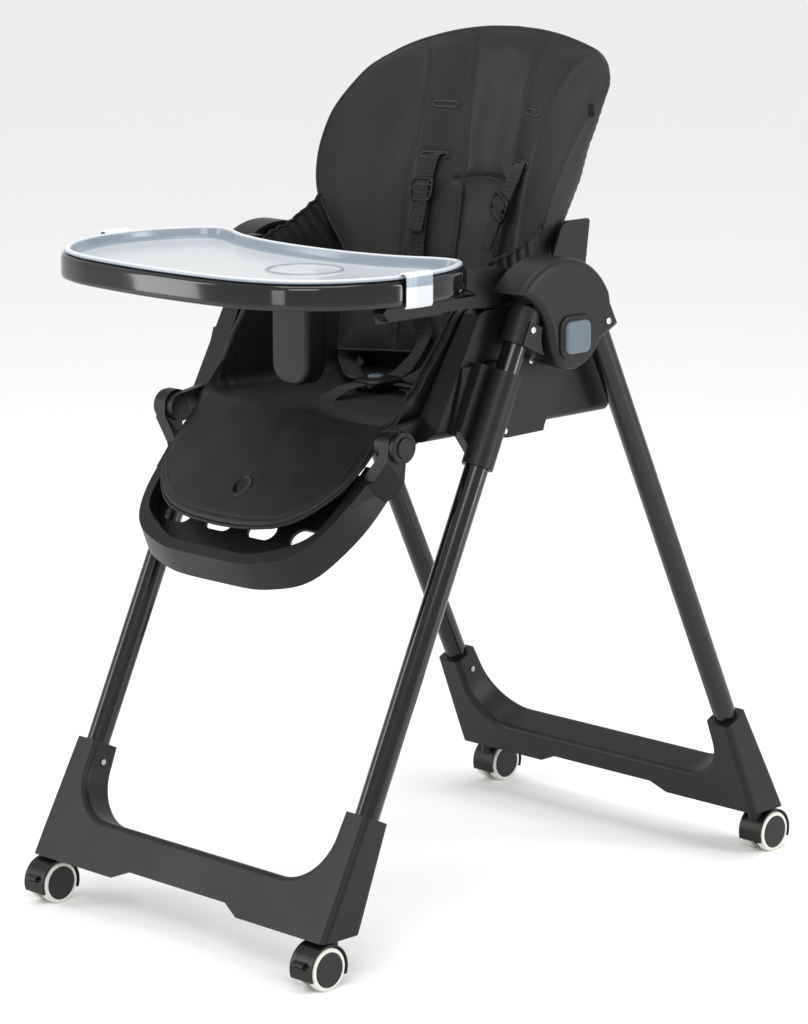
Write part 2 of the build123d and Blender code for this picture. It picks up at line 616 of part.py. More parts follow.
def footrest_arm():
    """One arm, made at +X in the footrest's own axes."""
    start = FOOTREST_HALF_W - FOOTREST_RIM
    inner = LUG_X + LUG_T + GAP
    outer = inner + FOOTREST_ARM_T
    outline = Polygon(
        (start, -RIM_START - 30),
        (FOOTREST_HALF_W + 1, -RIM_START - 30),
        (FOOTREST_HALF_W + 5, -RIM_START),
        (outer, -24),
        (outer, 40),
        (inner, 40),
        (inner, -20),
        (FOOTREST_HALF_W - 4, -RIM_START + 8),
        (FOOTREST_HALF_W - 6, -RIM_START - 6),
        align=None,
    )
    plan = Pos(0, 0, -60) * extrude(outline, 120, dir=(0, 0, 1))
    side = closed(
        ThreePointArc((-6, -KNUCKLE_R + 0.9), (KNUCKLE_R, 0), (-8, KNUCKLE_R - 1.7)),
        Polyline(
            (-8, KNUCKLE_R - 1.7),
            (-RIM_START + 6, RIM_H),
            (-RIM_START - 40, RIM_H),
            (-RIM_START - 40, RIM_H - FOOTREST_DEPTH),
            (-RIM_START + 10, RIM_H - FOOTREST_DEPTH + 2),
            (-6, -KNUCKLE_R + 0.9),
        ),
    )
    arm = plan & side_plate(side, 100, 240)
    return arm - cross_rod(BUTTON_R + FIT, inner + 4, 260, 0, 0)


def footrest_knobs():
    """On each arm: a ring round the release button, and the stub that turns in the seat's lug."""
    inner = LUG_X + LUG_T + GAP
    outer = inner + FOOTREST_ARM_T
    ring = cross_rod(KNOB_D / 2, outer, outer + 7, FOOTREST_PIVOT_Y, FOOTREST_PIVOT_Z)
    ring = fillet(ring.edges().filter_by(lambda e: e.center().X > outer + 6), 2.0)
    ring = ring - cross_rod(BUTTON_R + FIT, 150, 260, FOOTREST_PIVOT_Y, FOOTREST_PIVOT_Z)
    stub = cross_rod(STUB_R, LUG_X + 0.4, inner, FOOTREST_PIVOT_Y, FOOTREST_PIVOT_Z)
    return both(Compound(ring.solids() + stub.solids()))


def footrest_button():
    inner = LUG_X + LUG_T + GAP
    outer = inner + FOOTREST_ARM_T
    body = cross_rod(BUTTON_R, inner + 4 + KNOB_TRAVEL + 1, outer + 10, FOOTREST_PIVOT_Y, FOOTREST_PIVOT_Z)
    return fillet(body.edges().filter_by(lambda e: e.center().X > outer + 9), 2.0)


def calf_pad():
    """Pad over the footrest, with rounded lower corners. Its top edge clears the seat pad."""
    up = -10.0
    side = [(154, up), (152, -RIM_START - 12), (138, -RIM_START - 42)]
    nose = [(119, -RIM_START - 64), (86, -RIM_START - 84), (38, -RIM_START - 93), (0, -RIM_START - 94)]
    right = Spline(*side, *nose, tangents=[(0, -1), (-1, 0)])
    face = closed(right, mirror(right, Plane.YZ), Line(side[0], (-side[0][0], side[0][1])))
    body = Pos(0, 0, RIM_H + 1) * extrude(face, CALF_PAD_T, dir=(0, 0, 1))
    return footrest_plane() * body


# ---- arms and tray ----------------------------------------------------------------------
def armrest():
    """A block that turns on the arm's screw, and the rail that the tray slides on."""
    block = Pos(ARM_Y, ARM_Z) * Circle(ARM_BLOCK_R)
    front = -122
    block = block + Polygon(
        (ARM_Y, ARM_Z - ARM_BLOCK_R),
        (ARM_Y, ARM_Z + ARM_BLOCK_R),
        (front, ARM_Z + ARM_BLOCK_R + 2),
        (front, RAIL_Z + RAIL_H + 9),
        (front + 14, RAIL_Z + RAIL_H + 4),
        (front + 14, RAIL_Z + RAIL_H),
        (front, RAIL_Z + RAIL_H),
        (front, RAIL_Z),
        align=None,
    )
    rail = Polygon(
        (ARM_Y - 6, RAIL_Z - 3),
        (ARM_Y - 6, RAIL_Z + RAIL_H),
        (RAIL_FRONT_Y + 5, RAIL_Z + RAIL_H),
        (RAIL_FRONT_Y, RAIL_Z + RAIL_H - 5),
        (RAIL_FRONT_Y + 8, RAIL_Z),
        (front, RAIL_Z),
        align=None,
    )
    x0 = SHELL_OUTER_X - ARM_T
    body = side_plate(block, x0, SHELL_OUTER_X) + side_plate(rail, x0, SHELL_OUTER_X)
    return body - cross_rod(5 + FIT, 100, 300, ARM_Y, ARM_Z)


def arm_pin():
    """Screw that joins an arm to the seat's lug, with its bright head outside."""
    x0 = SHELL_OUTER_X - ARM_T - GAP - ARM_EAR_T
    shank = cross_rod(5, x0 - 1, SHELL_OUTER_X, ARM_Y, ARM_Z)
    return shank + rivet(SHELL_OUTER_X, ARM_Y, ARM_Z, 3.6)


def tray_outline(inset):
    """Closed tray outline in (x, y): bowed front, sides that taper back, hollowed rear edge."""
    half = [
        (0, -420 + inset),
        (98 - inset * 0.2, -414.5 + inset * 0.98),
        (150 - inset * 0.5, -404 + inset * 0.9),
        (190 - inset * 0.75, -384 + inset * 0.75),
        (224 - inset * 0.9, -347 + inset * 0.5),
        (245 - inset * 0.97, -302 + inset * 0.25),
        (254 - inset, -250),
        (247 - inset * 0.99, -192 - inset * 0.1),
        (227 - inset * 0.9, -147 - inset * 0.5),
        (203 - inset * 0.3, -125 - inset),
        (172 + inset * 0.1, -128 - inset),
        (128 + inset * 0.1, -149 - inset),
        (66, -164 - inset),
        (0, -168 - inset),
    ]
    right = Spline(*half, tangents=[(1, 0), (-1, 0)])
    return closed(right, mirror(right, Plane.YZ))


def tray_base():
    """Gloss tray body: a deep outer band, and a deck that holds the insert."""
    body = flat_plate(tray_outline(0), TRAY_Z, TRAY_Z + TRAY_H)
    body = fillet(body.faces().sort_by(Axis.Z)[-1].edges(), 5.0)
    recess_z = TRAY_Z + TRAY_H + RIM_RISE - INSERT_DEPTH - INSERT_WALL - GAP
    body = body - flat_plate(tray_outline(INSERT_INSET + 0.4), recess_z, TRAY_Z + TRAY_H + 5)
    return body - flat_plate(tray_outline(TRAY_WALL), TRAY_Z - 1, recess_z - 2.5)


def tray_insert():
    """Thin lift-off tub with a rim that stands above the base, and a ring for a cup."""
    top = TRAY_Z + TRAY_H + RIM_RISE
    body = flat_plate(tray_outline(INSERT_INSET + 0.8), top - INSERT_DEPTH - INSERT_WALL, top)
    tub = flat_plate(tray_outline(INSERT_INSET + 0.8 + INSERT_WALL), top - INSERT_DEPTH, top + 5)
    body = body - tub
    floor_z = top - INSERT_DEPTH
    cup = Pos(74, -248, floor_z) * (Cylinder(44, 2.0) - Cylinder(41, 3.0))
    return body + cup


def insert_clip():
    """Strap that runs from the insert's rim over the base's edge and down its side."""
    top = TRAY_Z + TRAY_H + RIM_RISE
    over = Pos(249.6, -248, top - 0.6) * Box(14, 40, 2.4)
    down = Pos(255.8, -248, (top + TRAY_Z) / 2) * Box(2.2, 40, top - TRAY_Z + 1)
    return over + down - flat_plate(tray_outline(INSERT_INSET + 0.8), TRAY_Z, top + 5)


def crotch_post():
    """Post under the tray with a rounded foot."""
    height = TRAY_Z + TRAY_H - 14 - POST_BOTTOM_Z
    face = Pos(0, POST_BOTTOM_Z + height / 2) * Rectangle(POST_W, height)
    face = fillet(face.vertices().group_by(Axis.Y)[0], 24)
    y = -188
    body = front_plate(face, y + POST_D / 2, y - POST_D / 2)
    front_and_back = body.edges().filter_by(lambda e: abs(abs(e.center().Y - y) - POST_D / 2) < 0.1)
    low = front_and_back.filter_by(lambda e: e.center().Z < TRAY_Z + 5)
    body = fillet(low, 5.0)
    deck = TRAY_Z + TRAY_H + RIM_RISE - INSERT_DEPTH - INSERT_WALL - GAP - 2.5
    return body - Pos(0, y, deck + 50) * Box(200, 200, 100)


def tray_slider():
    """Runner under the tray that hooks below the rail."""
    x1 = SHELL_OUTER_X
    x0 = x1 - ARM_T
    deck = TRAY_Z + TRAY_H + RIM_RISE - INSERT_DEPTH - INSERT_WALL - GAP - 2.5
    y0, y1 = -246, -142
    middle = (y0 + y1) / 2
    length = y1 - y0
    rail_top = RAIL_Z + RAIL_H + GAP
    top = Pos((x0 + x1) / 2 - 2, middle, (rail_top + deck) / 2) * Box(ARM_T + 3, length, deck - rail_top)
    wall_x = x0 - GAP - 1.6
    wall = Pos(wall_x, middle, (RAIL_Z + deck) / 2 - 3) * Box(3.2, length, deck - RAIL_Z + 6)
    lip = Pos(x0 + 2, middle, RAIL_Z - GAP - 1.6) * Box(ARM_T - 6, length - 20, 3.2)
    return top + wall + lip


# ---- backrest ---------------------------------------------------------------------------
def wing_share(x):
    """0 on the centre line, 1 at the widest point of the back."""
    return (hypot(x, 60) - 60) / (hypot(BACK_HALF_W, 60) - 60)


def fade(z):
    t = max(0.0, min(1.0, (z - BACK_WING_Z) / (BACK_FADE_Z - BACK_WING_Z)))
    return 1 - t ** 2.3


def back_centre(z):
    return BACK_FOOT_Y + (z - SEAT_Z) * tan(radians(BACK_RAKE)) + 9 * max(0.0, (z - 985) / 35) ** 2


def back_front_y(x, z):
    """The pad's face: a bucket whose sides come forward, fading out near the top."""
    return back_centre(z) - BACK_WING * fade(z) * wing_share(x)


def back_rear_y(x, z):
    """The pad's back, which is less deeply curved."""
    wing = along_x(z, [(600, 106), (820, 100), (862, 87), (902, 83), (957, 63), (1000, 34), (1040, 24)])
    thick = along_x(z, [(600, BACK_PAD_T), (960, BACK_PAD_T), (1030, BACK_PAD_T - 12)])
    return back_centre(z) + thick - wing * wing_share(x)


def back_block(surface, shift):
    """Everything behind a back surface, to a flat rear far away."""
    xs = [-BACK_HALF_W - 12 + (2 * BACK_HALF_W + 24) * i / 16 for i in range(17)]
    zs = [600 + (1045 - 600) * j / 14 for j in range(15)]
    grid = [[Vector(x, surface(x, z) + shift, z) for z in zs] for x in xs]
    face = Face.make_surface_from_array_of_points(grid, tol=0.05)
    return Solid.extrude(face, Vector(0, 260, 0))


def back_half_width(inset):
    """Half of the back's outline in (x, z), from the bottom corner to the middle of the top."""
    return [
        (146 - inset, 632),
        (150 - inset, 742),
        (176 - inset, 792),
        (188 - inset, 818),
        (196 - inset, 852),
        (201 - inset, 890),
        (BACK_HALF_W - inset, 922),
        (195 - inset, 961),
        (182 - inset * 0.85, 978 - inset * 0.5),
        (161 - inset * 0.6, 992 - inset * 0.8),
        (134 - inset * 0.35, 1003 - inset * 0.95),
        (90 - inset * 0.15, 1013.5 - inset),
        (0, BACK_TOP_Z - inset),
    ]


def back_outline(inset, bottom_z):
    points = back_half_width(inset)
    right = Spline(*points[1:], tangents=[(0.25, 1), (-1, 0)])
    foot_x = points[0][0]
    corner = points[1]
    base = Polyline(corner, (foot_x, bottom_z), (-foot_x, bottom_z), (-corner[0], corner[1]))
    return closed(right, mirror(right, Plane.YZ), base)


def strap_slots(y0, y1):
    cut = None
    for z in SLOT_Z:
        for x in (-SLOT_X, SLOT_X):
            hole = front_plate(Pos(x, z) * RectangleRounded(SLOT_W, SLOT_H, 2), y0, y1)
            cut = hole if cut is None else cut + hole
    return cut


def back_pad():
    body = back_block(back_front_y, 0) - back_block(back_rear_y, 0)
    body = body & front_plate(back_outline(0, 632), 400, -100)
    return body - strap_slots(400, -100)


def back_shell():
    """Moulded back behind the pad, with hinge eyes at its foot and cheeks at the wings."""
    shell = back_block(back_rear_y, GAP) - back_block(back_rear_y, GAP + BACK_SHELL_T)
    shell = shell & front_plate(back_outline(7, 634), 400, -100)
    eye = Pos(HINGE_Y, HINGE_Z) * Circle(13)
    arm = Polygon((HINGE_Y + 2, HINGE_Z - 10), (HINGE_Y + 13, HINGE_Z), (HINGE_Y + 38, 660), (HINGE_Y + 8, 660),
                  (HINGE_Y - 10, HINGE_Z + 4), align=None)
    plate = side_plate(eye + arm, 60, 72) - cross_rod(5 + FIT, 0, 300, HINGE_Y, HINGE_Z)
    plate = plate & (back_block(back_rear_y, GAP + 0.2) + side_plate(Pos(HINGE_Y, HINGE_Z) * Circle(13.1), 0, 300))
    shell = shell - strap_slots(400, -100)
    return shell + both_fused(plate)


def back_cheek():
    """Side plate beside a wing of the back, with a foot that joins the back shell."""
    face = Polygon((31, 742), (34, 775), (50, 811), (60, 816), (98, 816), (88, 742), align=None)
    face = fillet(face.vertices(), 4)
    plate = side_plate(face, 188.5, 192.0)
    foot_face = Polygon((50, 772), (96, 772), (96, 798), (50, 798), align=None)
    foot_block = side_plate(foot_face, 156, 189)
    return plate + (foot_block & back_block(back_rear_y, GAP + BACK_SHELL_T))


def recline_housing():
    y = back_rear_y(0, 905) + GAP + BACK_SHELL_T
    body = Pos(0, y + 8, 905) * Box(120, 20, 46)
    body = fillet(body.edges().filter_by(Axis.Y), 14)
    body = body - back_block(back_rear_y, -50) + (body & back_block(back_rear_y, GAP + BACK_SHELL_T))
    slot = Pos(0, y + 12, 902) * Box(88, 16, 32)
    return body - slot


def recline_lever():
    y = back_rear_y(0, 905) + GAP + BACK_SHELL_T
    body = Pos(0, y + 12.5, 894) * Box(84, 11, 13)
    return fillet(body.edges().filter_by(Axis.X), 3.0)


# ---- harness ----------------------------------------------------------------------------
def ribbon(points, width, thickness):
    """A flat strap through (x, y, z) points, as wide as stated along X."""
    lower = [(y, z) for _, y, z in points]
    upper = [(y - thickness, z) for y, z in reversed(lower)]
    face = Polygon(*lower, *upper, align=None)
    x = points[0][0]
    return side_plate(face, x - width / 2, x + width / 2)


def shoulder_strap(x):
    """Strap from a lower slot down the face of the pad to the seat."""
    z_top = SLOT_Z[0]
    lead = 3.2
    levels = [z_top - 2, 845, 800, 750, 700, 662]
    points = [(x, back_front_y(abs(x) + STRAP_W / 2, z) - lead, z) for z in levels]
    start = (x, back_front_y(abs(x), z_top) + 14, z_top)
    return ribbon([start] + points, STRAP_W, STRAP_T)


def strap_adjuster(x):
    """Ladder buckle that hangs on a shoulder strap."""
    z = 818
    y = back_front_y(abs(x) + STRAP_W / 2, z) - 3.2 - STRAP_T - 2.6
    frame = Pos(x, y, z) * Rot(-BACK_RAKE, 0, 0) * Box(STRAP_W + 8, 3.6, 30)
    frame = fillet(frame.edges().filter_by(lambda e: e.length < 5 and e.length > 3), 3.0)
    for dz in (-8, 2, 10):
        frame = frame - Pos(x, y, z + dz) * Box(STRAP_W + 1, 20, 4.2)
    return frame


def buckle():
    body = Pos(0, -62, SEAT_Z + 8) * Box(46, 58, 13)
    body = fillet(body.edges().filter_by(Axis.Z), 9)
    return fillet(body.faces().sort_by(Axis.Z)[-1].edges(), 3)


def lap_strap():
    """Strap from the pad's rear corner to the buckle."""
    face = Polygon((24.5, -70), (24.5, -48), (140, 30), (151, 12), align=None)
    return flat_plate(face, SEAT_Z + 3, SEAT_Z + 3 + STRAP_T)


# ---- all pieces -------------------------------------------------------------------------
def build_all():
    nodes["front_foot"] = foot(FRONT)
    nodes["rear_foot"] = foot(REAR)
    for end, plane in (("front", FRONT), ("rear", REAR)):
        nodes[f"{end}_upper_tubes"] = both(upper_tube(plane))
        nodes[f"{end}_lower_tubes"] = both(lower_tube(plane))
        nodes[f"{end}_foot_screws"] = foot_screws(plane)
    for name, side in SIDES.items():
        nodes[f"hub_collar_{name}"] = on_side(hub_collar(), side)
        nodes[f"hub_shell_{name}"] = on_side(hub_shell(), side)
        nodes[f"fold_button_{name}"] = on_side(fold_button(), side)
        nodes[f"seat_carriage_{name}"] = on_side(carriage(), side)
        nodes[f"footrest_button_{name}"] = on_side(footrest_button(), side)
        nodes[f"armrest_{name}"] = on_side(armrest(), side)
        nodes[f"brake_pedal_{name}"] = brake_pedal(side)
        for end, plane in (("front", FRONT), ("rear", REAR)):
            nodes[f"caster_{end}_{name}"] = caster_body(plane, side)
            nodes[f"wheels_{end}_{name}"] = caster_wheels(plane, side)
            nodes[f"tyres_{end}_{name}"] = caster_tyres(plane, side)
    nodes["hub_pins"] = both(hub_pin())
    nodes["button_bezels"] = both(button_bezel())
    nodes["collar_rivets"] = both(rivet(LEG_X + SOCKET_D / 2 + 0.6, -60, HUB_Z + 11, 4.0))
    nodes["shell_rivets"] = both(rivet(HUB_OUTER_X, 56, HUB_Z + 10, 4.0))
    nodes["carriage_rivets"] = carriage_rivets()
    nodes["seat_shell"] = seat_shell()
    nodes["seat_pad"] = seat_pad()
    nodes["recline_pin"] = recline_pin()
    nodes["footrest_frame"] = footrest_frame()
    nodes["footrest_knobs"] = footrest_knobs()
    nodes["calf_pad"] = calf_pad()
    nodes["arm_pins"] = both(arm_pin())
    nodes["tray_base"] = tray_base()
    nodes["tray_sliders"] = both(tray_slider())
    nodes["tray_insert"] = tray_insert()
    nodes["insert_clips"] = both(insert_clip())
    nodes["crotch_post"] = crotch_post()
    nodes["back_pad"] = back_pad()
    nodes["back_shell"] = back_shell()
    nodes["back_cheeks"] = both(back_cheek())
    nodes["recline_housing"] = recline_housing()
    nodes["recline_lever"] = recline_lever()
    nodes["shoulder_straps"] = both(shoulder_strap(SLOT_X))
    nodes["strap_adjusters"] = both(strap_adjuster(SLOT_X))
    nodes["buckle"] = buckle()
    nodes["lap_straps"] = both(lap_strap())


def centre_y():
    """How far the whole model moves so that its box is centred on y = 0."""
    boxes = [shape.bounding_box() for shape in nodes.values()]
    return -(min(b.min.Y for b in boxes) + max(b.max.Y for b in boxes)) / 2


build_all()
SHIFT_Y = centre_y()
os.makedirs("parts", exist_ok=True)
for node_name, shape in nodes.items():
    export_step(Pos(0, SHIFT_Y, 0) * shape, f"parts/{node_name}.step")
print("nodes", len(nodes), "shift", round(SHIFT_Y, 3))
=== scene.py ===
import json
from math import cos, exp, hypot, pi, radians, sin, tan

import bmesh
import bpy
from bpy.props import FloatProperty, FloatVectorProperty, PointerProperty, StringProperty
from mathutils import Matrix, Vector, noise


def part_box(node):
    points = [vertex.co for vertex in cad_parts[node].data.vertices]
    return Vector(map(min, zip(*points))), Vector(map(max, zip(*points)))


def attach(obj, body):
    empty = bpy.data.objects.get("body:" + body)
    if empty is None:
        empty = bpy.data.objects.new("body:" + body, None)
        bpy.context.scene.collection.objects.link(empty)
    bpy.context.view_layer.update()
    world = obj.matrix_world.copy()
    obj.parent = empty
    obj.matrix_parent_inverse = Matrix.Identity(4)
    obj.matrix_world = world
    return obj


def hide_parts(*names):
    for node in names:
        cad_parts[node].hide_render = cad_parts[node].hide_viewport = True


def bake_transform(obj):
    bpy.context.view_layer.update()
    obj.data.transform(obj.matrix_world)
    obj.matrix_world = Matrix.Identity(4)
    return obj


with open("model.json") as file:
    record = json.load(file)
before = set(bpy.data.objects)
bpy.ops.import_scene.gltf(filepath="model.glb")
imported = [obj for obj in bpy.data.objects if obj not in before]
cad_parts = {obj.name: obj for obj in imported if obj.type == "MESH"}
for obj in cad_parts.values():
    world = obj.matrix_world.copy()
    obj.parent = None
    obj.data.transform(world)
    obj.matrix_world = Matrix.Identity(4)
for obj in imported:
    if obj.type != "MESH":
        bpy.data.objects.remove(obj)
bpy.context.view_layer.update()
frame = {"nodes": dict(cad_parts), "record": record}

bl_info = {
    "name": "Folding high chair",
    "version": (1, 0, 0),
    "blender": (4, 5, 0),
    "location": "3D View > Sidebar > High Chair",
    "description": "Soft goods, tray, harness and finishes of a folding high chair",
    "category": "Object",
}

MM = 0.001
NODES = frame["nodes"]
PIN_LOW, PIN_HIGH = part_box("hub_pins")
AXIS_Y = (PIN_LOW.y + PIN_HIGH.y) / 2      # the fold axis; part sizes below are counted from it


# ---- settings ---------------------------------------------------------------------------
class HighChairPads(bpy.types.PropertyGroup):
    """Sizes of the padded covers"""

    puff: FloatProperty(name="Puff", description="How far a panel stands up between its seams",
                        default=3.2 * MM, min=0, max=0.01, subtype="DISTANCE", unit="LENGTH")
    seam_depth: FloatProperty(name="Seam depth", description="How deep a sewn seam pulls in",
                              default=3.4 * MM, min=0, max=0.01, subtype="DISTANCE", unit="LENGTH")
    piping: FloatProperty(name="Piping", description="Radius of the piping round a cover",
                          default=1.9 * MM, min=0.0005, max=0.005, subtype="DISTANCE", unit="LENGTH")
    stitch: FloatProperty(name="Stitch length", description="Length of one stitch",
                          default=3.6 * MM, min=0.001, max=0.01, subtype="DISTANCE", unit="LENGTH")
    seat_thickness: FloatProperty(name="Seat cover", description="Thickness of the seat and calf cover",
                                  default=10.5 * MM, min=0.004, max=0.02, subtype="DISTANCE", unit="LENGTH")


class HighChairStraps(bpy.types.PropertyGroup):
    """Sizes of the harness"""

    width: FloatProperty(name="Webbing width", description="Width of the harness webbing",
                         default=25 * MM, min=0.015, max=0.04, subtype="DISTANCE", unit="LENGTH")
    thickness: FloatProperty(name="Webbing thickness", description="Thickness of the harness webbing",
                             default=1.7 * MM, min=0.0008, max=0.004, subtype="DISTANCE", unit="LENGTH")


class HighChairColours(bpy.types.PropertyGroup):
    """Base colours, as sRGB hex values"""

    leatherette: StringProperty(name="Leatherette", description="Colour of the covers", default="#0f0f0f")
    plastic: StringProperty(name="Moulded plastic", description="Colour of the feet and hubs", default="#121110")
    enamel: StringProperty(name="Tube enamel", description="Colour of the leg tubes", default="#0b0b0c")
    tray: StringProperty(name="Tray", description="Colour of the gloss tray", default="#09090a")
    insert: StringProperty(name="Insert", description="Tint of the milky insert", default="#cccfd1")
    button: StringProperty(name="Fold button", description="Colour of the fold buttons", default="#59646c")
    webbing: StringProperty(name="Webbing", description="Colour of the harness", default="#1c1713")
    tyre: StringProperty(name="Tyre", description="Colour of the caster treads", default="#cfcfc4")


class HighChairStage(bpy.types.PropertyGroup):
    """Floor, lights and camera"""

    floor: StringProperty(name="Floor", description="Colour of the floor", default="#ffffff")
    ambient: FloatProperty(name="Ambient", description="Strength of the soft surrounding light",
                           default=0.85, min=0, max=4)
    camera_at: FloatVectorProperty(name="Camera", description="Where the camera stands", size=3,
                                   default=(3.2066, -3.2087, 1.3896), subtype="TRANSLATION", unit="LENGTH")
    lens: FloatProperty(name="Lens", description="Focal length in millimetres", default=135.7, min=20, max=300)


GROUPS = {"pads": HighChairPads, "straps": HighChairStraps, "colours": HighChairColours, "stage": HighChairStage}


class HighChairSettings(bpy.types.PropertyGroup):
    """All settings of the high chair"""

    pads: PointerProperty(type=HighChairPads)
    straps: PointerProperty(type=HighChairStraps)
    colours: PointerProperty(type=HighChairColours)
    stage: PointerProperty(type=HighChairStage)


# ---- small helpers ------------------------------------------------------------------------
def place(x, y, z):
    """A point in metres from part sizes in millimetres, with y counted from the fold axis."""
    return Vector((x * MM, y * MM + AXIS_Y, z * MM))


def linear(hex_code):
    """Linear RGBA from an sRGB hex value."""
    channels = [int(hex_code[i:i + 2], 16) / 255 for i in (1, 3, 5)]
    return [c / 12.92 if c <= 0.04045 else ((c + 0.055) / 1.055) ** 2.4 for c in channels] + [1.0]


def between(value, table):
    """Straight-line interpolation in a short list of (position, value) pairs."""
    if value <= table[0][0]:
        return table[0][1]
    for (p0, v0), (p1, v1) in zip(table[:-1], table[1:]):
        if value <= p1:
            return v0 + (v1 - v0) * (value - p0) / (p1 - p0)
    return table[-1][1]


def smooth_line(points, count):
    """count points, evenly spaced along a smooth curve through the given ones."""
    points = [Vector(p) for p in points]
    ends = [2 * points[0] - points[1]] + points + [2 * points[-1] - points[-2]]
    fine = []
    for p0, p1, p2, p3 in zip(ends, ends[1:], ends[2:], ends[3:]):
        for step in range(16):
            t = step / 16
            fine.append(0.5 * (2 * p1 + (p2 - p0) * t + (2 * p0 - 5 * p1 + 4 * p2 - p3) * t * t
                               + (3 * p1 - p0 - 3 * p2 + p3) * t * t * t))
    fine.append(points[-1].copy())
    reach = [0.0]
    for a, b in zip(fine, fine[1:]):
        reach.append(reach[-1] + (b - a).length)
    result, j = [], 0
    for i in range(count):
        want = reach[-1] * i / (count - 1)
        while j < len(fine) - 2 and reach[j + 1] < want:
            j += 1
        span = reach[j + 1] - reach[j]
        result.append(fine[j].lerp(fine[j + 1], 0 if span < 1e-12 else min(1, (want - reach[j]) / span)))
    return result


def make_object(name, points, faces, material, smooth=True):
    mesh = bpy.data.meshes.new(name)
    mesh.from_pydata([tuple(p) for p in points], [], faces)
    mesh.validate()
    mesh.polygons.foreach_set("use_smooth", [smooth] * len(mesh.polygons))
    mesh.materials.append(material)
    piece = bpy.data.objects.new(name, mesh)
    bpy.context.collection.objects.link(piece)
    return piece


def woven_rows(name, rows, material, closed=False, caps=False):
    """A surface through rows of points; closed joins each row's ends, caps fills the first and last row."""
    width = len(rows[0])
    faces = []
    for r in range(len(rows) - 1):
        for c in range(width if closed else width - 1):
            d = (c + 1) % width
            faces.append((r * width + c, r * width + d, (r + 1) * width + d, (r + 1) * width + c))
    if caps:
        faces.append(tuple(reversed(range(width))))
        faces.append(tuple((len(rows) - 1) * width + c for c in range(width)))
    return make_object(name, [p for row in rows for p in row], faces, material)


def outwards(piece):
    """Makes the faces' normals consistent and pointing out."""
    work = bmesh.new()
    work.from_mesh(piece.data)
    bmesh.ops.recalc_face_normals(work, faces=work.faces)
    work.to_mesh(piece.data)
    work.free()
    return piece


def modify(piece, kind, **settings):
    modifier = piece.modifiers.new(kind.title(), kind)
    for key, value in settings.items():
        setattr(modifier, key, value)
    return piece


def freeze(piece):
    """Applies the piece's modifiers."""
    bpy.context.view_layer.update()
    shape = piece.evaluated_get(bpy.context.evaluated_depsgraph_get())
    mesh = bpy.data.meshes.new_from_object(shape)
    piece.modifiers.clear()
    piece.data = mesh
    return piece


def cord_mesh(name, points, radius, material, closed=False, sides=8):
    """A round welt swept along a line, as a mesh."""
    count = len(points)
    rows = []
    for i, p in enumerate(points):
        after = points[(i + 1) % count] if closed or i < count - 1 else p
        before = points[i - 1] if closed or i > 0 else p
        along = (after - before).normalized()
        side = along.cross(Vector((0.13, 0.21, 0.97))).normalized()
        up = side.cross(along)
        rows.append([p + radius * (cos(2 * pi * k / sides) * side + sin(2 * pi * k / sides) * up)
                     for k in range(sides)])
    if closed:
        rows.append(rows[0])
    return outwards(woven_rows(name, rows, material, closed=True, caps=not closed))


def stitch_line(name, points, normals, length, gap, radius, material):
    """A row of thread stitches laid along a line, each a small rounded bead."""
    reach = [0.0]
    for a, b in zip(points, points[1:]):
        reach.append(reach[-1] + (b - a).length)
    verts, faces = [], []
    at = gap / 2
    while at + length < reach[-1]:
        ends = []
        for want in (at, at + length):
            j = 0
            while j < len(reach) - 2 and reach[j + 1] < want:
                j += 1
            t = (want - reach[j]) / max(1e-9, reach[j + 1] - reach[j])
            ends.append((points[j].lerp(points[j + 1], t), normals[j].lerp(normals[j + 1], t).normalized()))
        (a, up), (b, _) = ends
        along = (b - a).normalized()
        side = along.cross(up).normalized()
        base = len(verts)
        for share, swell in ((0.0, 0.25), (0.18, 0.9), (0.5, 1.0), (0.82, 0.9), (1.0, 0.25)):
            middle = a.lerp(b, share)
            for k in range(6):
                turn = 2 * pi * k / 6
                verts.append(middle + radius * swell * (cos(turn) * side + sin(turn) * up))
        for r in range(4):
            for k in range(6):
                d = (k + 1) % 6
                faces.append((base + r * 6 + k, base + r * 6 + d, base + r * 6 + 6 + d, base + r * 6 + 6 + k))
        faces.append(tuple(base + k for k in reversed(range(6))))
        faces.append(tuple(base + 24 + k for k in range(6)))
        at += length + gap
    return outwards(make_object(name, verts, faces, material))


# ---- finishes ---------------------------------------------------------------------------
def add(tree, kind, values=None, links=None, **settings):
    """Adds one node with its settings, input values and links."""
    node = tree.nodes.new(kind)
    for key, value in settings.items():
        setattr(node, key, value)
    for key, value in (values or {}).items():
        node.inputs[key].default_value = value
    for key, socket in (links or {}).items():
        tree.links.new(socket, node.inputs[key])
    return node


def start_material(name, colour, **values):
    """A new material with its shader, output and coordinates in metres."""
    material = bpy.data.materials.new(name)
    material.use_nodes = True
    tree = material.node_tree
    tree.nodes.clear()
    shader = add(tree, "ShaderNodeBsdfPrincipled", {"Base Color": linear(colour), **values})
    add(tree, "ShaderNodeOutputMaterial", links={"Surface": shader.outputs[0]})
    where = add(tree, "ShaderNodeTexCoord").outputs["Object"]
    return material, tree, shader, where


def tint(tree, shader, fac, dark, light):
    """Colour variation: fac runs the surface from the dark to the light hex value."""
    ramp = add(tree, "ShaderNodeMix", links={0: fac}, data_type="RGBA")
    ramp.inputs[6].default_value = linear(dark)
    ramp.inputs[7].default_value = linear(light)
    tree.links.new(ramp.outputs[2], shader.inputs["Base Color"])


def relief(tree, shader, height, depth, strength=1.0):
    bump = add(tree, "ShaderNodeBump", {"Strength": strength, "Distance": depth}, {"Height": height})
    tree.links.new(bump.outputs[0], shader.inputs["Normal"])


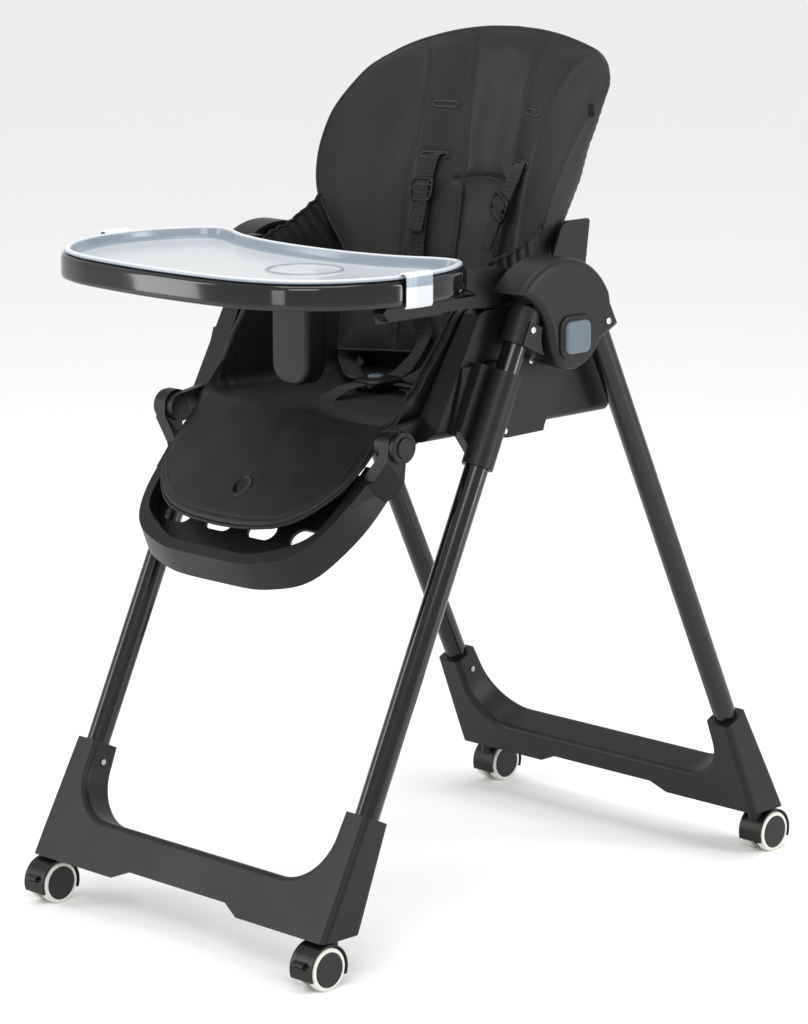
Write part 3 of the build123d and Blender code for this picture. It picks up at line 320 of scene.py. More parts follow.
def shade(hex_code, factor):
    """A hex value made darker or lighter."""
    return "#" + "".join(f"{max(0, min(255, round(int(hex_code[i:i + 2], 16) * factor))):02x}" for i in (1, 3, 5))


def polyurethane_leatherette(colours):
    """Soft coated cloth: a fine pebbled grain that breaks up a broad, dull sheen."""
    colour = colours.leatherette
    material, tree, shader, where = start_material(
        "Polyurethane leatherette, embossed", colour,
        **{"Roughness": 0.5, "Specular IOR Level": 0.33, "Sheen Weight": 0.03, "Sheen Roughness": 0.4})
    cloud = add(tree, "ShaderNodeTexNoise", {"Scale": 28.0, "Detail": 3.0}, {"Vector": where})
    tint(tree, shader, cloud.outputs[0], shade(colour, 0.86), shade(colour, 1.16))
    # The pebbles are 1.3 mm apart, a little coarser than real grain so that they show.
    pebble = add(tree, "ShaderNodeTexVoronoi", {"Scale": 1 / (1.3 * MM)}, {"Vector": where},
                 feature="SMOOTH_F1")
    pore = add(tree, "ShaderNodeTexNoise", {"Scale": 1 / (2.6 * MM), "Detail": 4.0}, {"Vector": where})
    both = add(tree, "ShaderNodeMath", links={0: pebble.outputs["Distance"], 1: pore.outputs[0]}, operation="ADD")
    relief(tree, shader, both.outputs[0], 0.16 * MM, 0.55)
    worn = add(tree, "ShaderNodeMapRange", {"To Min": 0.43, "To Max": 0.6}, {"Value": cloud.outputs[0]})
    tree.links.new(worn.outputs[0], shader.inputs["Roughness"])
    return material


def polyester_webbing(colours):
    """Woven ribbon: cross ribs 1.6 mm apart."""
    colour = colours.webbing
    material, tree, shader, where = start_material(
        "Polyester webbing, ribbed weave", colour, **{"Roughness": 0.8, "Specular IOR Level": 0.3, "Sheen Weight": 0.08})
    ribs = add(tree, "ShaderNodeTexWave", {"Scale": 1 / (2 * pi * 0.26 * MM) / 10, "Distortion": 0.6,
                                           "Detail": 2.0}, {"Vector": where}, bands_direction="Z")
    threads = add(tree, "ShaderNodeTexWave", {"Scale": 1 / (2 * pi * 0.36 * MM) / 10, "Distortion": 0.4},
                  {"Vector": where}, bands_direction="X")
    mixed = add(tree, "ShaderNodeMath", links={0: ribs.outputs["Fac"], 1: threads.outputs["Fac"]},
                operation="MULTIPLY")
    tint(tree, shader, mixed.outputs[0], shade(colour, 0.62), shade(colour, 1.45))
    relief(tree, shader, mixed.outputs[0], 0.35 * MM, 0.8)
    return material


def polyester_thread(colours):
    """Bonded sewing thread: a touch lighter than the cover, so a seam reads as a dotted line."""
    material, tree, shader, where = start_material("Polyester thread, twisted", "#262627", **{"Roughness": 0.6})
    ply = add(tree, "ShaderNodeTexWave", {"Scale": 90.0}, {"Vector": where}, bands_direction="DIAGONAL")
    relief(tree, shader, ply.outputs["Fac"], 0.1 * MM, 0.6)
    return material


def knitted_elastic(colours):
    """Gathered hem tape: duller than the cover, with tight puckers."""
    material, tree, shader, where = start_material("Knitted elastic, black", "#0e0e0e", **{"Roughness": 0.85, "Specular IOR Level": 0.3})
    knit = add(tree, "ShaderNodeTexNoise", {"Scale": 1 / (3.0 * MM), "Detail": 3.0}, {"Vector": where})
    relief(tree, shader, knit.outputs[0], 0.6 * MM, 0.9)
    return material


def moulded(name, colour, roughness, grain_mm, depth_mm):
    """Injection-moulded plastic with spark-eroded grain and faint flow clouds."""
    material, tree, shader, where = start_material(name, colour, **{"Roughness": roughness, "Specular IOR Level": 0.27})
    flow = add(tree, "ShaderNodeTexNoise", {"Scale": 14.0, "Detail": 2.0}, {"Vector": where})
    tint(tree, shader, flow.outputs[0], shade(colour, 0.9), shade(colour, 1.12))
    grain = add(tree, "ShaderNodeTexNoise", {"Scale": 1 / (grain_mm * MM), "Detail": 5.0, "Roughness": 0.7},
                {"Vector": where})
    relief(tree, shader, grain.outputs[0], depth_mm * MM, 0.6)
    rub = add(tree, "ShaderNodeMapRange", {"To Min": roughness - 0.06, "To Max": roughness + 0.08},
              {"Value": flow.outputs[0]})
    tree.links.new(rub.outputs[0], shader.inputs["Roughness"])
    return material


def textured_polypropylene(colours):
    """Feet, hubs and seat shell: an even satin black-brown with a sandy grain."""
    return moulded("Polypropylene, spark-grained", colours.plastic, 0.42, 0.9, 0.10)


def satin_nylon(colours):
    """Casters, bezels and levers: smoother and darker than the shells."""
    return moulded("Nylon, satin", "#0e0e0e", 0.33, 0.6, 0.05)


def caster_cap_plastic(colours):
    """Wheel caps: a flat dark grey disc inside the pale tread."""
    return moulded("ABS, fine satin", "#1d1d1e", 0.4, 0.5, 0.05)


def button_plastic(colours):
    """Fold buttons: soft slate blue-grey that takes a broad highlight."""
    return moulded("ABS, slate grey satin", colours.button, 0.36, 0.5, 0.04)


def stoved_enamel(colours):
    """Leg tubes: wet-looking black paint on steel with a very faint orange peel."""
    material, tree, shader, where = start_material(
        "Stoved enamel on steel tube", colours.enamel, **{"Roughness": 0.16, "Specular IOR Level": 0.36,
                                                          "Coat Weight": 0.12, "Coat Roughness": 0.05})
    peel = add(tree, "ShaderNodeTexNoise", {"Scale": 1 / (5 * MM), "Detail": 2.0}, {"Vector": where})
    relief(tree, shader, peel.outputs[0], 0.05 * MM, 0.35)
    film = add(tree, "ShaderNodeMapRange", {"To Min": 0.12, "To Max": 0.22}, {"Value": peel.outputs[0]})
    tree.links.new(film.outputs[0], shader.inputs["Roughness"])
    return material


def gloss_abs(colours):
    """Tray body: polished black that mirrors the softboxes."""
    material, tree, shader, where = start_material(
        "ABS, polished black", colours.tray, **{"Roughness": 0.07, "Specular IOR Level": 0.42,
                                                "Coat Weight": 0.15, "Coat Roughness": 0.03})
    wave = add(tree, "ShaderNodeTexNoise", {"Scale": 1 / (60 * MM), "Detail": 1.0}, {"Vector": where})
    scuff = add(tree, "ShaderNodeTexNoise", {"Scale": 1 / (1.5 * MM), "Detail": 4.0}, {"Vector": where})
    relief(tree, shader, wave.outputs[0], 0.4 * MM, 0.25)
    film = add(tree, "ShaderNodeMapRange", {"To Min": 0.07, "To Max": 0.13}, {"Value": scuff.outputs[0]})
    tree.links.new(film.outputs[0], shader.inputs["Roughness"])
    return material


def milky_polypropylene(colours):
    """Lift-off insert: thin translucent plastic, pale blue-grey, with painted shade on the walls and a painted
    highlight on the rim.
    """
    material, tree, shader, where = start_material(
        "Polypropylene, natural translucent", colours.insert,
        **{"Roughness": 0.2, "IOR": 1.49, "Transmission Weight": 0.12})
    # Painted shade and highlight, by height: the walls are painted a darker blue-grey than the floor, as they look when
    # seen edge-on through more plastic, and the rolled rim is painted a bright highlight.
    height = add(tree, "ShaderNodeSeparateXYZ", links={"Vector": where}).outputs["Z"]
    ramp = add(tree, "ShaderNodeMapRange", {"From Min": 776.5 * MM, "From Max": 791.5 * MM}, {"Value": height})
    painted_wall_shade_and_rim_highlight = add(tree, "ShaderNodeValToRGB", links={"Fac": ramp.outputs[0]})
    wall_shade_and_rim_highlight_stops = painted_wall_shade_and_rim_highlight.color_ramp.elements
    wall_shade_and_rim_highlight_stops[0].position, wall_shade_and_rim_highlight_stops[0].color = 0.06, linear(colours.insert)
    wall_shade_and_rim_highlight_stops[1].position, wall_shade_and_rim_highlight_stops[1].color = 0.97, linear("#eceeef")
    for spot, colour in ((0.14, "#8895a1"), (0.8, "#8d9aa6")):
        stop = wall_shade_and_rim_highlight_stops.new(spot)
        stop.color = linear(colour)
    tree.links.new(painted_wall_shade_and_rim_highlight.outputs[0], shader.inputs["Base Color"])
    frost = add(tree, "ShaderNodeTexNoise", {"Scale": 1 / (1.2 * MM), "Detail": 3.0}, {"Vector": where})
    relief(tree, shader, frost.outputs[0], 0.04 * MM, 0.4)
    return material


def soft_rubber(colours):
    """Caster treads: matt off-white, a little grubby in patches."""
    material, tree, shader, where = start_material("Thermoplastic rubber, off-white", colours.tyre,
                                                   **{"Roughness": 0.55})
    dust = add(tree, "ShaderNodeTexNoise", {"Scale": 1 / (6 * MM), "Detail": 5.0}, {"Vector": where})
    tint(tree, shader, dust.outputs[0], shade(colours.tyre, 0.92), shade(colours.tyre, 1.04))
    relief(tree, shader, dust.outputs[0], 0.1 * MM, 0.3)
    return material


def bright_rivet_steel(colours):
    """Rivets and snap buttons: bright domes with fine turning marks."""
    material, tree, shader, where = start_material("Nickel-plated steel, polished", "#d6d6d8",
                                                   **{"Metallic": 1.0, "Roughness": 0.18})
    turned = add(tree, "ShaderNodeTexNoise", {"Scale": 1 / (0.8 * MM)}, {"Vector": where})
    relief(tree, shader, turned.outputs[0], 0.03 * MM, 0.3)
    return material


def zinc_steel(colours):
    """Screws and pins: greyer zinc with a brushed haze."""
    material, tree, shader, where = start_material("Zinc-plated steel, brushed", "#a9aaac",
                                                   **{"Metallic": 1.0, "Roughness": 0.34})
    brushed = add(tree, "ShaderNodeTexNoise", {"Scale": 1 / (0.6 * MM), "Detail": 3.0}, {"Vector": where})
    relief(tree, shader, brushed.outputs[0], 0.04 * MM, 0.4)
    return material


FINISHES = {
    "frame_enamel": stoved_enamel,
    "foot_plastic": textured_polypropylene,
    "shell_plastic": textured_polypropylene,
    "bezel_plastic": satin_nylon,
    "button_plastic": button_plastic,
    "caster_plastic": satin_nylon,
    "cap_plastic": caster_cap_plastic,
    "tyre_rubber": soft_rubber,
    "rivet_steel": bright_rivet_steel,
    "screw_steel": zinc_steel,
    "tray_gloss": gloss_abs,
    "insert_plastic": milky_polypropylene,
    "pad_leatherette": polyurethane_leatherette,
    "webbing": polyester_webbing,
    "harness_plastic": satin_nylon,
}
made = {}


def finish_of(builder):
    """The material that a finish function makes, made once."""
    if builder not in made:
        made[builder] = builder(bpy.context.scene.high_chair.colours)
    return made[builder]


def dress(piece, body, slot, *replaced):
    """Rides and hides the plain solids the piece stands for."""
    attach(piece, body)
    if replaced:
        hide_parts(*replaced)
    return piece


# ---- backrest ---------------------------------------------------------------------------
BACK_HALF_W = 202.5
BACK_SIDE = [(146, 632), (148, 700), (151, 744), (176, 792), (188, 818), (196, 852), (201, 890), (202.5, 922),
             (195, 961), (184, 976)]
BACK_TOP = [(184, 976), (162, 991.5), (134, 1003), (90, 1013.5), (45, 1019.5), (0, 1021.5)]
CENTRE_SEAM = [(600, 30), (800, 36), (859, 38), (902, 43), (944, 46.5), (987, 51.5), (1022, 58)]
OUTER_SEAM = [(600, 86), (821, 95), (863, 97), (908, 100), (945, 104), (980, 116), (1003, 136)]
GUSSET = [(600, 24), (780, 34), (820, 37), (861, 36), (902, 27), (957, 17), (1000, 10), (1022, 9)]
STITCH_SHIFT = 3.4      # from a seam to the stitches beside it
SLOTS = [(x, z) for z in (868, 928) for x in (-73, 73)]


def wing_share(x):
    return (hypot(x, 60) - 60) / (hypot(BACK_HALF_W, 60) - 60)


def back_centre(z):
    return 79 + (z - 605) * tan(radians(11.6)) + 9 * max(0.0, (z - 985) / 35) ** 2


def back_front(x, z):
    """The pad's face, in mm from the fold axis: a bucket whose wings fade out near the top."""
    t = max(0.0, min(1.0, (z - 800) / 203))
    return back_centre(z) - 112 * (1 - t ** 2.3) * wing_share(x)


def back_rear(x, z):
    wing = between(z, [(600, 106), (820, 100), (862, 87), (902, 83), (957, 63), (1000, 34), (1040, 24)])
    thick = between(z, [(600, 26), (960, 26), (1030, 14)])
    return back_centre(z) + thick - wing * wing_share(x)


def arch_height(x):
    """Height of the lumbar seam that crosses the centre panel."""
    return 844.5 - 0.0016 * x * x - 0.05 * abs(x)


def back_relief(x, z, puff, groove):
    """How far the face moves forwards (negative y) from its plain surface: puffed panels and sewn grooves."""
    seams = [abs(abs(x) - between(z, CENTRE_SEAM)), abs(abs(x) - between(z, OUTER_SEAM))]
    inner = abs(x) < between(z, CENTRE_SEAM) + 8
    if inner:
        seams.append(abs(z - arch_height(x)) * 0.9)
    nearest = min(seams)
    rise = puff * (1 - exp(-(nearest / 13) ** 2)) - groove * exp(-(nearest / 2.6) ** 2)
    for sx, sz in SLOTS:
        around = hypot(max(0, abs(x - sx) - 13), (z - sz))
        rise -= 2.4 * exp(-(around / 6.0) ** 2)
    low = noise.noise(Vector((x / 34, z / 52, 3.7)))
    fine = noise.noise(Vector((x / 13, z / 30, 9.1)))
    return rise + 1.1 * low + 0.45 * fine


def coons(left, right, bottom, top):
    """A grid inside four boundary lines that share their corners."""
    rows = []
    height, width = len(left), len(bottom)
    for i in range(height):
        v = i / (height - 1)
        row = []
        for j in range(width):
            u = j / (width - 1)
            ruled = (1 - v) * bottom[j] + v * top[j] + (1 - u) * left[i] + u * right[i]
            corners = ((1 - u) * (1 - v) * bottom[0] + u * (1 - v) * bottom[-1]
                       + (1 - u) * v * top[0] + u * v * top[-1])
            row.append(ruled - corners)
        rows.append(row)
    return rows


def back_grid(high, wide):
    right = smooth_line([(x, z, 0) for x, z in BACK_SIDE], high)
    half = smooth_line([(x, z, 0) for x, z in BACK_TOP], wide // 2 + 1)
    top = [Vector((-p.x, p.y, 0)) for p in half] + list(reversed(half))[1:]
    left = [Vector((-p.x, p.y, 0)) for p in right]
    bottom = [Vector((146 * (2 * j / (len(top) - 1) - 1), 632, 0)) for j in range(len(top))]
    return coons(left, right, bottom, top)


def back_line(points, lift):
    """Points of (x, z) on the face, and their outward directions."""
    pads = bpy.context.scene.high_chair.pads
    placed, normals = [], []
    for x, z in points:
        rise = back_relief(x, z, pads.puff / MM, pads.seam_depth / MM)
        placed.append(place(x, back_front(x, z) - rise - lift, z))
        slope_x = (back_front(x + 2, z) - back_front(x - 2, z)) / 4
        slope_z = (back_front(x, z + 2) - back_front(x, z - 2)) / 4
        normals.append(Vector((slope_x, -1, slope_z)).normalized())
    return placed, normals


class HIGHCHAIR_OT_back_cover(bpy.types.Operator):
    """Padded back cover with sewn channels, a piped edge, a gusset and an elastic hem"""

    bl_idname = "highchair.back_cover"
    bl_label = "Back Cover"

    def execute(self, context):
        pads = context.scene.high_chair.pads
        leather = finish_of(polyurethane_leatherette)
        grid = back_grid(120, 121)
        high, wide = len(grid), len(grid[0])
        front = []
        for i, row in enumerate(grid):
            for j, p in enumerate(row):
                rim = min(i, high - 1 - i, j, wide - 1 - j)
                share = min(1.0, rim / 7)
                rise = back_relief(p.x, p.y, pads.puff / MM, pads.seam_depth / MM) * share
                edge = 2.2 * (1 - share) ** 2
                front.append(place(p.x, back_front(p.x, p.y) - rise + edge, p.y))
        faces = [(i * wide + j, i * wide + j + 1, (i + 1) * wide + j + 1, (i + 1) * wide + j)
                 for i in range(high - 1) for j in range(wide - 1)]
        loop = [(i, 0) for i in range(high)] + [(high - 1, j) for j in range(1, wide)]
        loop += [(i, wide - 1) for i in range(high - 2, -1, -1)] + [(0, j) for j in range(wide - 2, 0, -1)]
        ring = [i * wide + j for i, j in loop]
        middle = Vector((0, 830, 0))
        points = list(front)
        hem = []
        previous = ring
        turns = ((0.06, -0.6), (0.35, -1.4), (0.75, -1.0), (1.0, 0.5), (1.12, 5), (1.1, 15), (1.04, 24))
        for step, (back, inset) in enumerate(turns):
            base = len(points)
            for k, (i, j) in enumerate(loop):
                p = grid[i][j]
                inward = (middle - p).normalized() * inset
                x, z = p.x + inward.x, p.y + inward.y
                depth = between(p.y, GUSSET)
                pucker = 0.0
                if step >= 4:
                    pucker = 1.3 * sin(k * 1.9) + 0.8 * noise.noise(Vector((k * 0.33, step, 1)))
                if step >= 4:
                    y = back_rear(x, z) + 6.4 + (0.8 if step == 5 else 0) + pucker * 0.8
                    y = max(y, back_front(p.x, p.y) + depth * 0.9)
                else:
                    y = back_front(p.x, p.y) + depth * back
                    x += 0.7 * noise.noise(Vector((k * 0.21, step * 0.6, 5)))
                spot = place(x, y, z + (pucker if step >= 5 else 0))
                points.append(spot)
                if step == 6:
                    hem.append(spot)
            current = [base + k for k in range(len(loop))]
            for k in range(len(loop)):
                d = (k + 1) % len(loop)
                faces.append((previous[k], previous[d], current[d], current[k]))
            previous = current
        cover = outwards(make_object("back_cover", points, faces, leather))
        modify(cover, "SUBSURF", levels=1, render_levels=1)
        dress(cover, "backrest", "pad_leatherette", "back_pad")
        edge = [front[i * wide + j] + Vector((0, 0.0008, 0)) for i, j in loop]
        piping = cord_mesh("back_piping", edge, pads.piping, leather, closed=True)
        dress(piping, "backrest", "pad_leatherette")
        elastic = cord_mesh("back_hem", hem, 2.6 * MM, finish_of(knitted_elastic), closed=True, sides=6)
        dress(elastic, "backrest", "pad_leatherette")
        return {"FINISHED"}


class HIGHCHAIR_OT_back_stitching(bpy.types.Operator):
    """Stitch rows beside the back's seams, and the bound slots for the straps"""

    bl_idname = "highchair.back_stitching"
    bl_label = "Back Stitching"

    def execute(self, context):
        pads = context.scene.high_chair.pads
        thread = finish_of(polyester_thread)
        lines = []
        for side in (-1, 1):
            for table, low, high in ((CENTRE_SEAM, 690, 1015), (OUTER_SEAM, 690, 1000)):
                levels = [low + (high - low) * k / 60 for k in range(61)]
                lines.append([(side * (between(z, table) + STITCH_SHIFT), z) for z in levels])
        arch = [-37 + 74 * k / 24 for k in range(25)]
        lines.append([(x, arch_height(x) + 3.6) for x in arch])
        for count, line in enumerate(lines):
            placed, normals = back_line(line, 0.15)
            row = stitch_line(f"back_stitches_{count + 1}", placed, normals, pads.stitch, 1.5 * MM,
                              0.42 * MM, thread)
            dress(row, "backrest", "pad_leatherette")
        for count, (x, z) in enumerate(SLOTS):
            self.slot(count, x, z)
        return {"FINISHED"}

    def slot(self, count, x, z):
        """A buttonholed slot: a dark mouth inside a corded binding."""
        outline = []
        for k in range(40):
            turn = 2 * pi * k / 40
            cx, cz = cos(turn), sin(turn)
            outline.append((x + 15.5 * (abs(cx) ** 0.35) * (1 if cx > 0 else -1),
                            z + 3.2 * (abs(cz) ** 0.6) * (1 if cz > 0 else -1)))
        placed, normals = back_line(outline, 0.5)
        binding = cord_mesh(f"slot_binding_{count + 1}", placed, 1.25 * MM, finish_of(polyester_thread),
                            closed=True, sides=8)
        dress(binding, "backrest", "pad_leatherette")
        centre, _ = back_line([(x, z)], 0.1)
        mouth = [p.lerp(centre[0], 0.06) for p in placed]
        deep = [p.lerp(centre[0], 0.3) + Vector((0, 0.0012, 0)) for p in placed]
        floor = [p.lerp(centre[0], 0.98) + Vector((0, 0.0016, 0)) for p in placed]
        dark = woven_rows(f"slot_mouth_{count + 1}", [mouth, deep, floor], finish_of(knitted_elastic), closed=True)
        dress(outwards(dark), "backrest", "pad_leatherette")


# ---- seat and calf cover ----------------------------------------------------------------
CALF_DROP = radians(43.5)
PIVOT_Y, PIVOT_Z = -217.0, 586.5
CALF_END = [(0, -144), (38, -143), (62, -139.5), (86, -133.5), (104, -124), (119, -112), (131, -99),
            (140, -84), (147, -68), (152, -50), (155, -30)]
SIDE_HEIGHT = [(-194, 0), (-186, 4), (-175, 17), (-159, 36), (-143, 61), (-121, 89), (-108, 112), (-99, 122),
               (-80, 127), (-30, 135), (5, 134), (24, 112), (46, 84), (58, 50), (66, 26)]
CENTRE_LINE = [(66, 607), (40, 605.6), (0, 605.2), (-60, 604.8), (-120, 605.2), (-160, 606.6), (-180, 607.6)]


def calf_point(x, along, height):
    """A point on the footrest: along runs up from the pivot, height is square to it."""
    y = PIVOT_Y + along * cos(CALF_DROP) - height * sin(CALF_DROP)
    z = PIVOT_Z + along * sin(CALF_DROP) + height * cos(CALF_DROP)
    return place(x, y, z)


def bucket_point(u, y):
    """The seat's face at a station y: a flat floor that turns up into the side pads."""
    rise = between(y, SIDE_HEIGHT)
    tall = max(rise, 30.0)
    floor = 141.0
    bend = 15.0
    run = abs(u) * (floor + bend * pi / 2 + tall - bend)
    if run <= floor:
        x, up = run, 0.0
    elif run <= floor + bend * pi / 2:
        turn = (run - floor) / bend
        x, up = floor + bend * sin(turn), bend * (1 - cos(turn))
    else:
        up = bend + run - floor - bend * pi / 2
        x = floor + bend + 12.5 * (up - bend) / 124
    t = max(0.0, min(1.0, rise / 30))
    share = t * t * (3 - 2 * t)
    flat = 162 * abs(u)
    x = flat + (x - flat) * share
    up *= share
    return (x if u >= 0 else -x), up


def seat_wrinkle(y, x):
    """Creases where the cover turns over the seat's front edge, and soft unevenness."""
    dent = 0.0
    for centre, bow, depth in ((-168, 9, 1.9), (-155, 15, 1.2), (-181, 5, 1.4)):
        line = centre + bow * (x / 160) ** 2
        dent += depth * exp(-((y - line) / 3.4) ** 2) * (0.65 + 0.35 * noise.noise(Vector((x / 40, centre, 0))))
    return 1.0 * noise.noise(Vector((x / 45, y / 45, 2.2))) - dent


class HIGHCHAIR_OT_seat_cover(bpy.types.Operator):
    """One padded cover for the bucket seat and the calf rest, piped and stitched, that turns down along the footrest"""

    bl_idname = "highchair.seat_cover"
    bl_label = "Seat and Calf Cover"

    def execute(self, context):
        pads = context.scene.high_chair.pads
        leather = finish_of(polyurethane_leatherette)
        columns = 100
        rows = []
        stations = [66 - 246 * k / 62 for k in range(63)]
        for y in stations:
            row = []
            z0 = between(-y, [(-a, b) for a, b in CENTRE_LINE])
            for c in range(columns + 1):
                u = 2 * c / columns - 1
                x, up = bucket_point(u, y)
                side = min(1.0, up / 24)
                dent = seat_wrinkle(y, x)
                crown = 2.0 * (1 - min(1, abs(x) / 120) ** 2)
                inward = (1.4 + dent) * side * (1 if x > 0 else -1)
                row.append(place(x - inward, y, z0 + up + (crown + dent) * (1 - side)))
            rows.append(row)
        for k in range(1, 54):
            v = k / 53
            row = []
            for c in range(columns + 1):
                u = 2 * c / columns - 1
                x = u * (162 - 7 * min(1, v * 3))
                end = between(abs(x), CALF_END)
                along = 26 + (end - 26) * v
                edge = min((1 - abs(u)) * 155, along - end + 0.01)
                drop = 5.2 * max(0.0, 1 - edge / 9) ** 2
                groove = 1.6 * exp(-((edge - 9.5) / 1.5) ** 2)
                soft = 0.9 * noise.noise(Vector((x / 38, along / 38, 7.3)))
                crown = 4.0 * (1 - (x / 165) ** 2) * min(1.0, v * 4 + 0.3)
                row.append(calf_point(x, along, -0.6 + crown + soft - drop - groove))
            rows.append(row)
        boundary = [r[0] for r in rows] + rows[-1][1:-1] + [r[-1] for r in reversed(rows)]
        cover = outwards(woven_rows("seat_and_calf_cover", rows, leather))
        flip = cover.data.polygons[len(cover.data.polygons) // 2].normal.z < 0
        modify(cover, "SOLIDIFY", thickness=pads.seat_thickness, offset=1.0 if flip else -1.0, use_rim=True,
               use_even_offset=False)
        modify(cover, "SUBSURF", levels=1, render_levels=1)
        freeze(cover)
        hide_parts("seat_pad", "calf_pad")
        start, end = place(0, -192, 606), place(0, -236, 570)
        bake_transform(cover)
        welt = cord_mesh("seat_piping", boundary, pads.piping, leather)
        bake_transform(welt)
        self.border(pads)
        return {"FINISHED"}

    def border(self, pads):
        """The stitched line that runs inside the calf pad's edge."""
        line, normals = [], []
        up = Vector((0, -sin(CALF_DROP), cos(CALF_DROP)))
        path = [(x, t + 10.5) for x, t in CALF_END] + [(148, -8)]
        path = [(min(x, 148) - 6 * min(1, x / 120), t) for x, t in path]
        whole = [(-x, t) for x, t in reversed(path)] + path[1:]
        for p in smooth_line([(x, t, 0) for x, t in whole], 150):
            crown = 4.0 * (1 - (p.x / 165) ** 2)
            line.append(calf_point(p.x, p.y, -0.6 + crown - 0.2))
            normals.append(up)
        row = stitch_line("calf_stitches", line, normals, pads.stitch, 1.5 * MM, 0.45 * MM,
                          finish_of(polyester_thread))
        dress(row, "footrest", "pad_leatherette")


class HIGHCHAIR_OT_badge(bpy.types.Operator):
    """Plain oval badge on the calf pad, and a blank fabric tab on the back's gusset"""

    bl_idname = "highchair.badge"
    bl_label = "Badge and Tab"

    def execute(self, context):
        rows = []
        for radius, height in ((1.0, 0.0), (1.0, 1.0), (0.93, 1.9), (0.84, 2.1), (0.8, 1.5), (0.4, 1.6), (0.02, 1.65)):
            ring = []
            for k in range(48):
                turn = 2 * pi * k / 48
                x, along = 8 + 14.4 * radius * cos(turn), -91 + 15.4 * radius * sin(turn)
                ring.append(calf_point(x, along, 2.4 + height))
            rows.append(ring)
        badge = outwards(woven_rows("calf_badge", rows, finish_of(satin_nylon), closed=True, caps=True))
        dress(badge, "footrest", "harness_plastic")
        tab = []
        for k in range(9):
            t = k / 8
            fold = sin(pi * t)
            x = 202.5 + 6.5 * fold
            y = 76 + 3.0 * (t - 0.5) * (1 - fold * 0.5)
            tab.append([place(x, y + 7 + 0.6 * sin(3 * t), 936 + 15 * s / 4) for s in range(5)])
        label = woven_rows("blank_tab", tab, finish_of(knitted_elastic))
        modify(label, "SOLIDIFY", thickness=0.5 * MM)
        dress(label, "backrest", "pad_leatherette")
        return {"FINISHED"}


class HIGHCHAIR_OT_side_gussets(bpy.types.Operator):
    """Loose cloth between each wing of the back and the seat's side, with a gathered top edge"""

    bl_idname = "highchair.side_gussets"
    bl_label = "Side Gussets"

    def execute(self, context):
        cloth = finish_of(polyurethane_leatherette)
        for name, side in (("left", -1), ("right", 1)):
            top = smooth_line([(186, 26, 817), (188, 4, 803), (186.5, -28, 787),
                               (184, -62, 778), (181, -86, 765)], 40)
            low = smooth_line([(151, 88, 722), (165, 50, 716), (176, 8, 728),
                               (179, -34, 733), (178, -80, 724)], 40)
            rows, hem = [], []
            for r in range(15):
                t = r / 14
                row = []
                for c, (a, b) in enumerate(zip(top, low)):
                    p = a.lerp(b, t)
                    sag = 5.5 * sin(pi * t) * sin(pi * c / 39)
                    gather = (1 - t) ** 2 * 1.5 * sin(c * 1.35) + 1.2 * noise.noise(Vector((c / 6, r / 6, side)))
                    row.append(place(side * (p.x - sag + gather), p.y, p.z + (1 - t) * 0.8 * sin(c * 1.1)))
                rows.append(row)
                if r == 0:
                    hem = row
            piece = woven_rows(f"side_gusset_{name}", rows, cloth)
            modify(piece, "SOLIDIFY", thickness=1.2 * MM, offset=0)
            modify(piece, "SUBSURF", levels=1, render_levels=1)
            freeze(piece)
            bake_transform(piece)
            welt = cord_mesh(f"side_gusset_hem_{name}", hem, 2.3 * MM, finish_of(knitted_elastic), sides=7)
            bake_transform(welt)
        self.lower_flap()
        return {"FINISHED"}

    def lower_flap(self):
        """Closes the gap between the back's lower edge and the seat's rear edge."""
        rows = []
        for r in range(9):
            t = r / 8
            row = []
            for c in range(41):
                x = -147 + 294 * c / 40
                top_y, low_y = back_front(x * 0.99, 640) + 7, 74 - 10 * (abs(x) / 147) ** 4
                y = top_y + (low_y - top_y) * t + 5 * sin(pi * t) + 1.2 * noise.noise(Vector((x / 16, t * 2, 4)))
                row.append(place(x, y, 642 - 38 * t))
            rows.append(row)
        piece = woven_rows("lower_flap", rows, finish_of(polyurethane_leatherette))
        modify(piece, "SOLIDIFY", thickness=1.5 * MM, offset=0)
        modify(piece, "SUBSURF", levels=1, render_levels=1)
        freeze(piece)
        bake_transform(piece)

    def area(self, rows):
        total = 0.0
        for a, b in zip(rows, rows[1:]):
            for p, q, r, s in zip(a, a[1:], b[1:], b):
                total += (q - p).cross(s - p).length / 2 + (r - q).cross(s - q).length / 2
        return min(total, 0.215 * 0.085)


# ---- harness ----------------------------------------------------------------------------
def ribbon(name, path, faces_to, width, thickness):
    """Webbing along a path; faces_to gives the outward direction at each point."""
    rows = []
    count = len(path)
    for i, p in enumerate(path):
        along = (path[min(i + 1, count - 1)] - path[max(i - 1, 0)]).normalized()
        out = faces_to[i] - along * faces_to[i].dot(along)
        out.normalize()
        side = along.cross(out).normalized()
        section = []
        half, thick = width / 2, thickness / 2
        for k in range(20):
            turn = 2 * pi * k / 20
            a, b = cos(turn), sin(turn)
            section.append(p + side * half * (abs(a) ** 0.16) * (1 if a > 0 else -1)
                           + out * thick * (abs(b) ** 0.7) * (1 if b > 0 else -1))
        rows.append(section)
    return outwards(woven_rows(name, rows, finish_of(polyester_webbing), closed=True, caps=True))


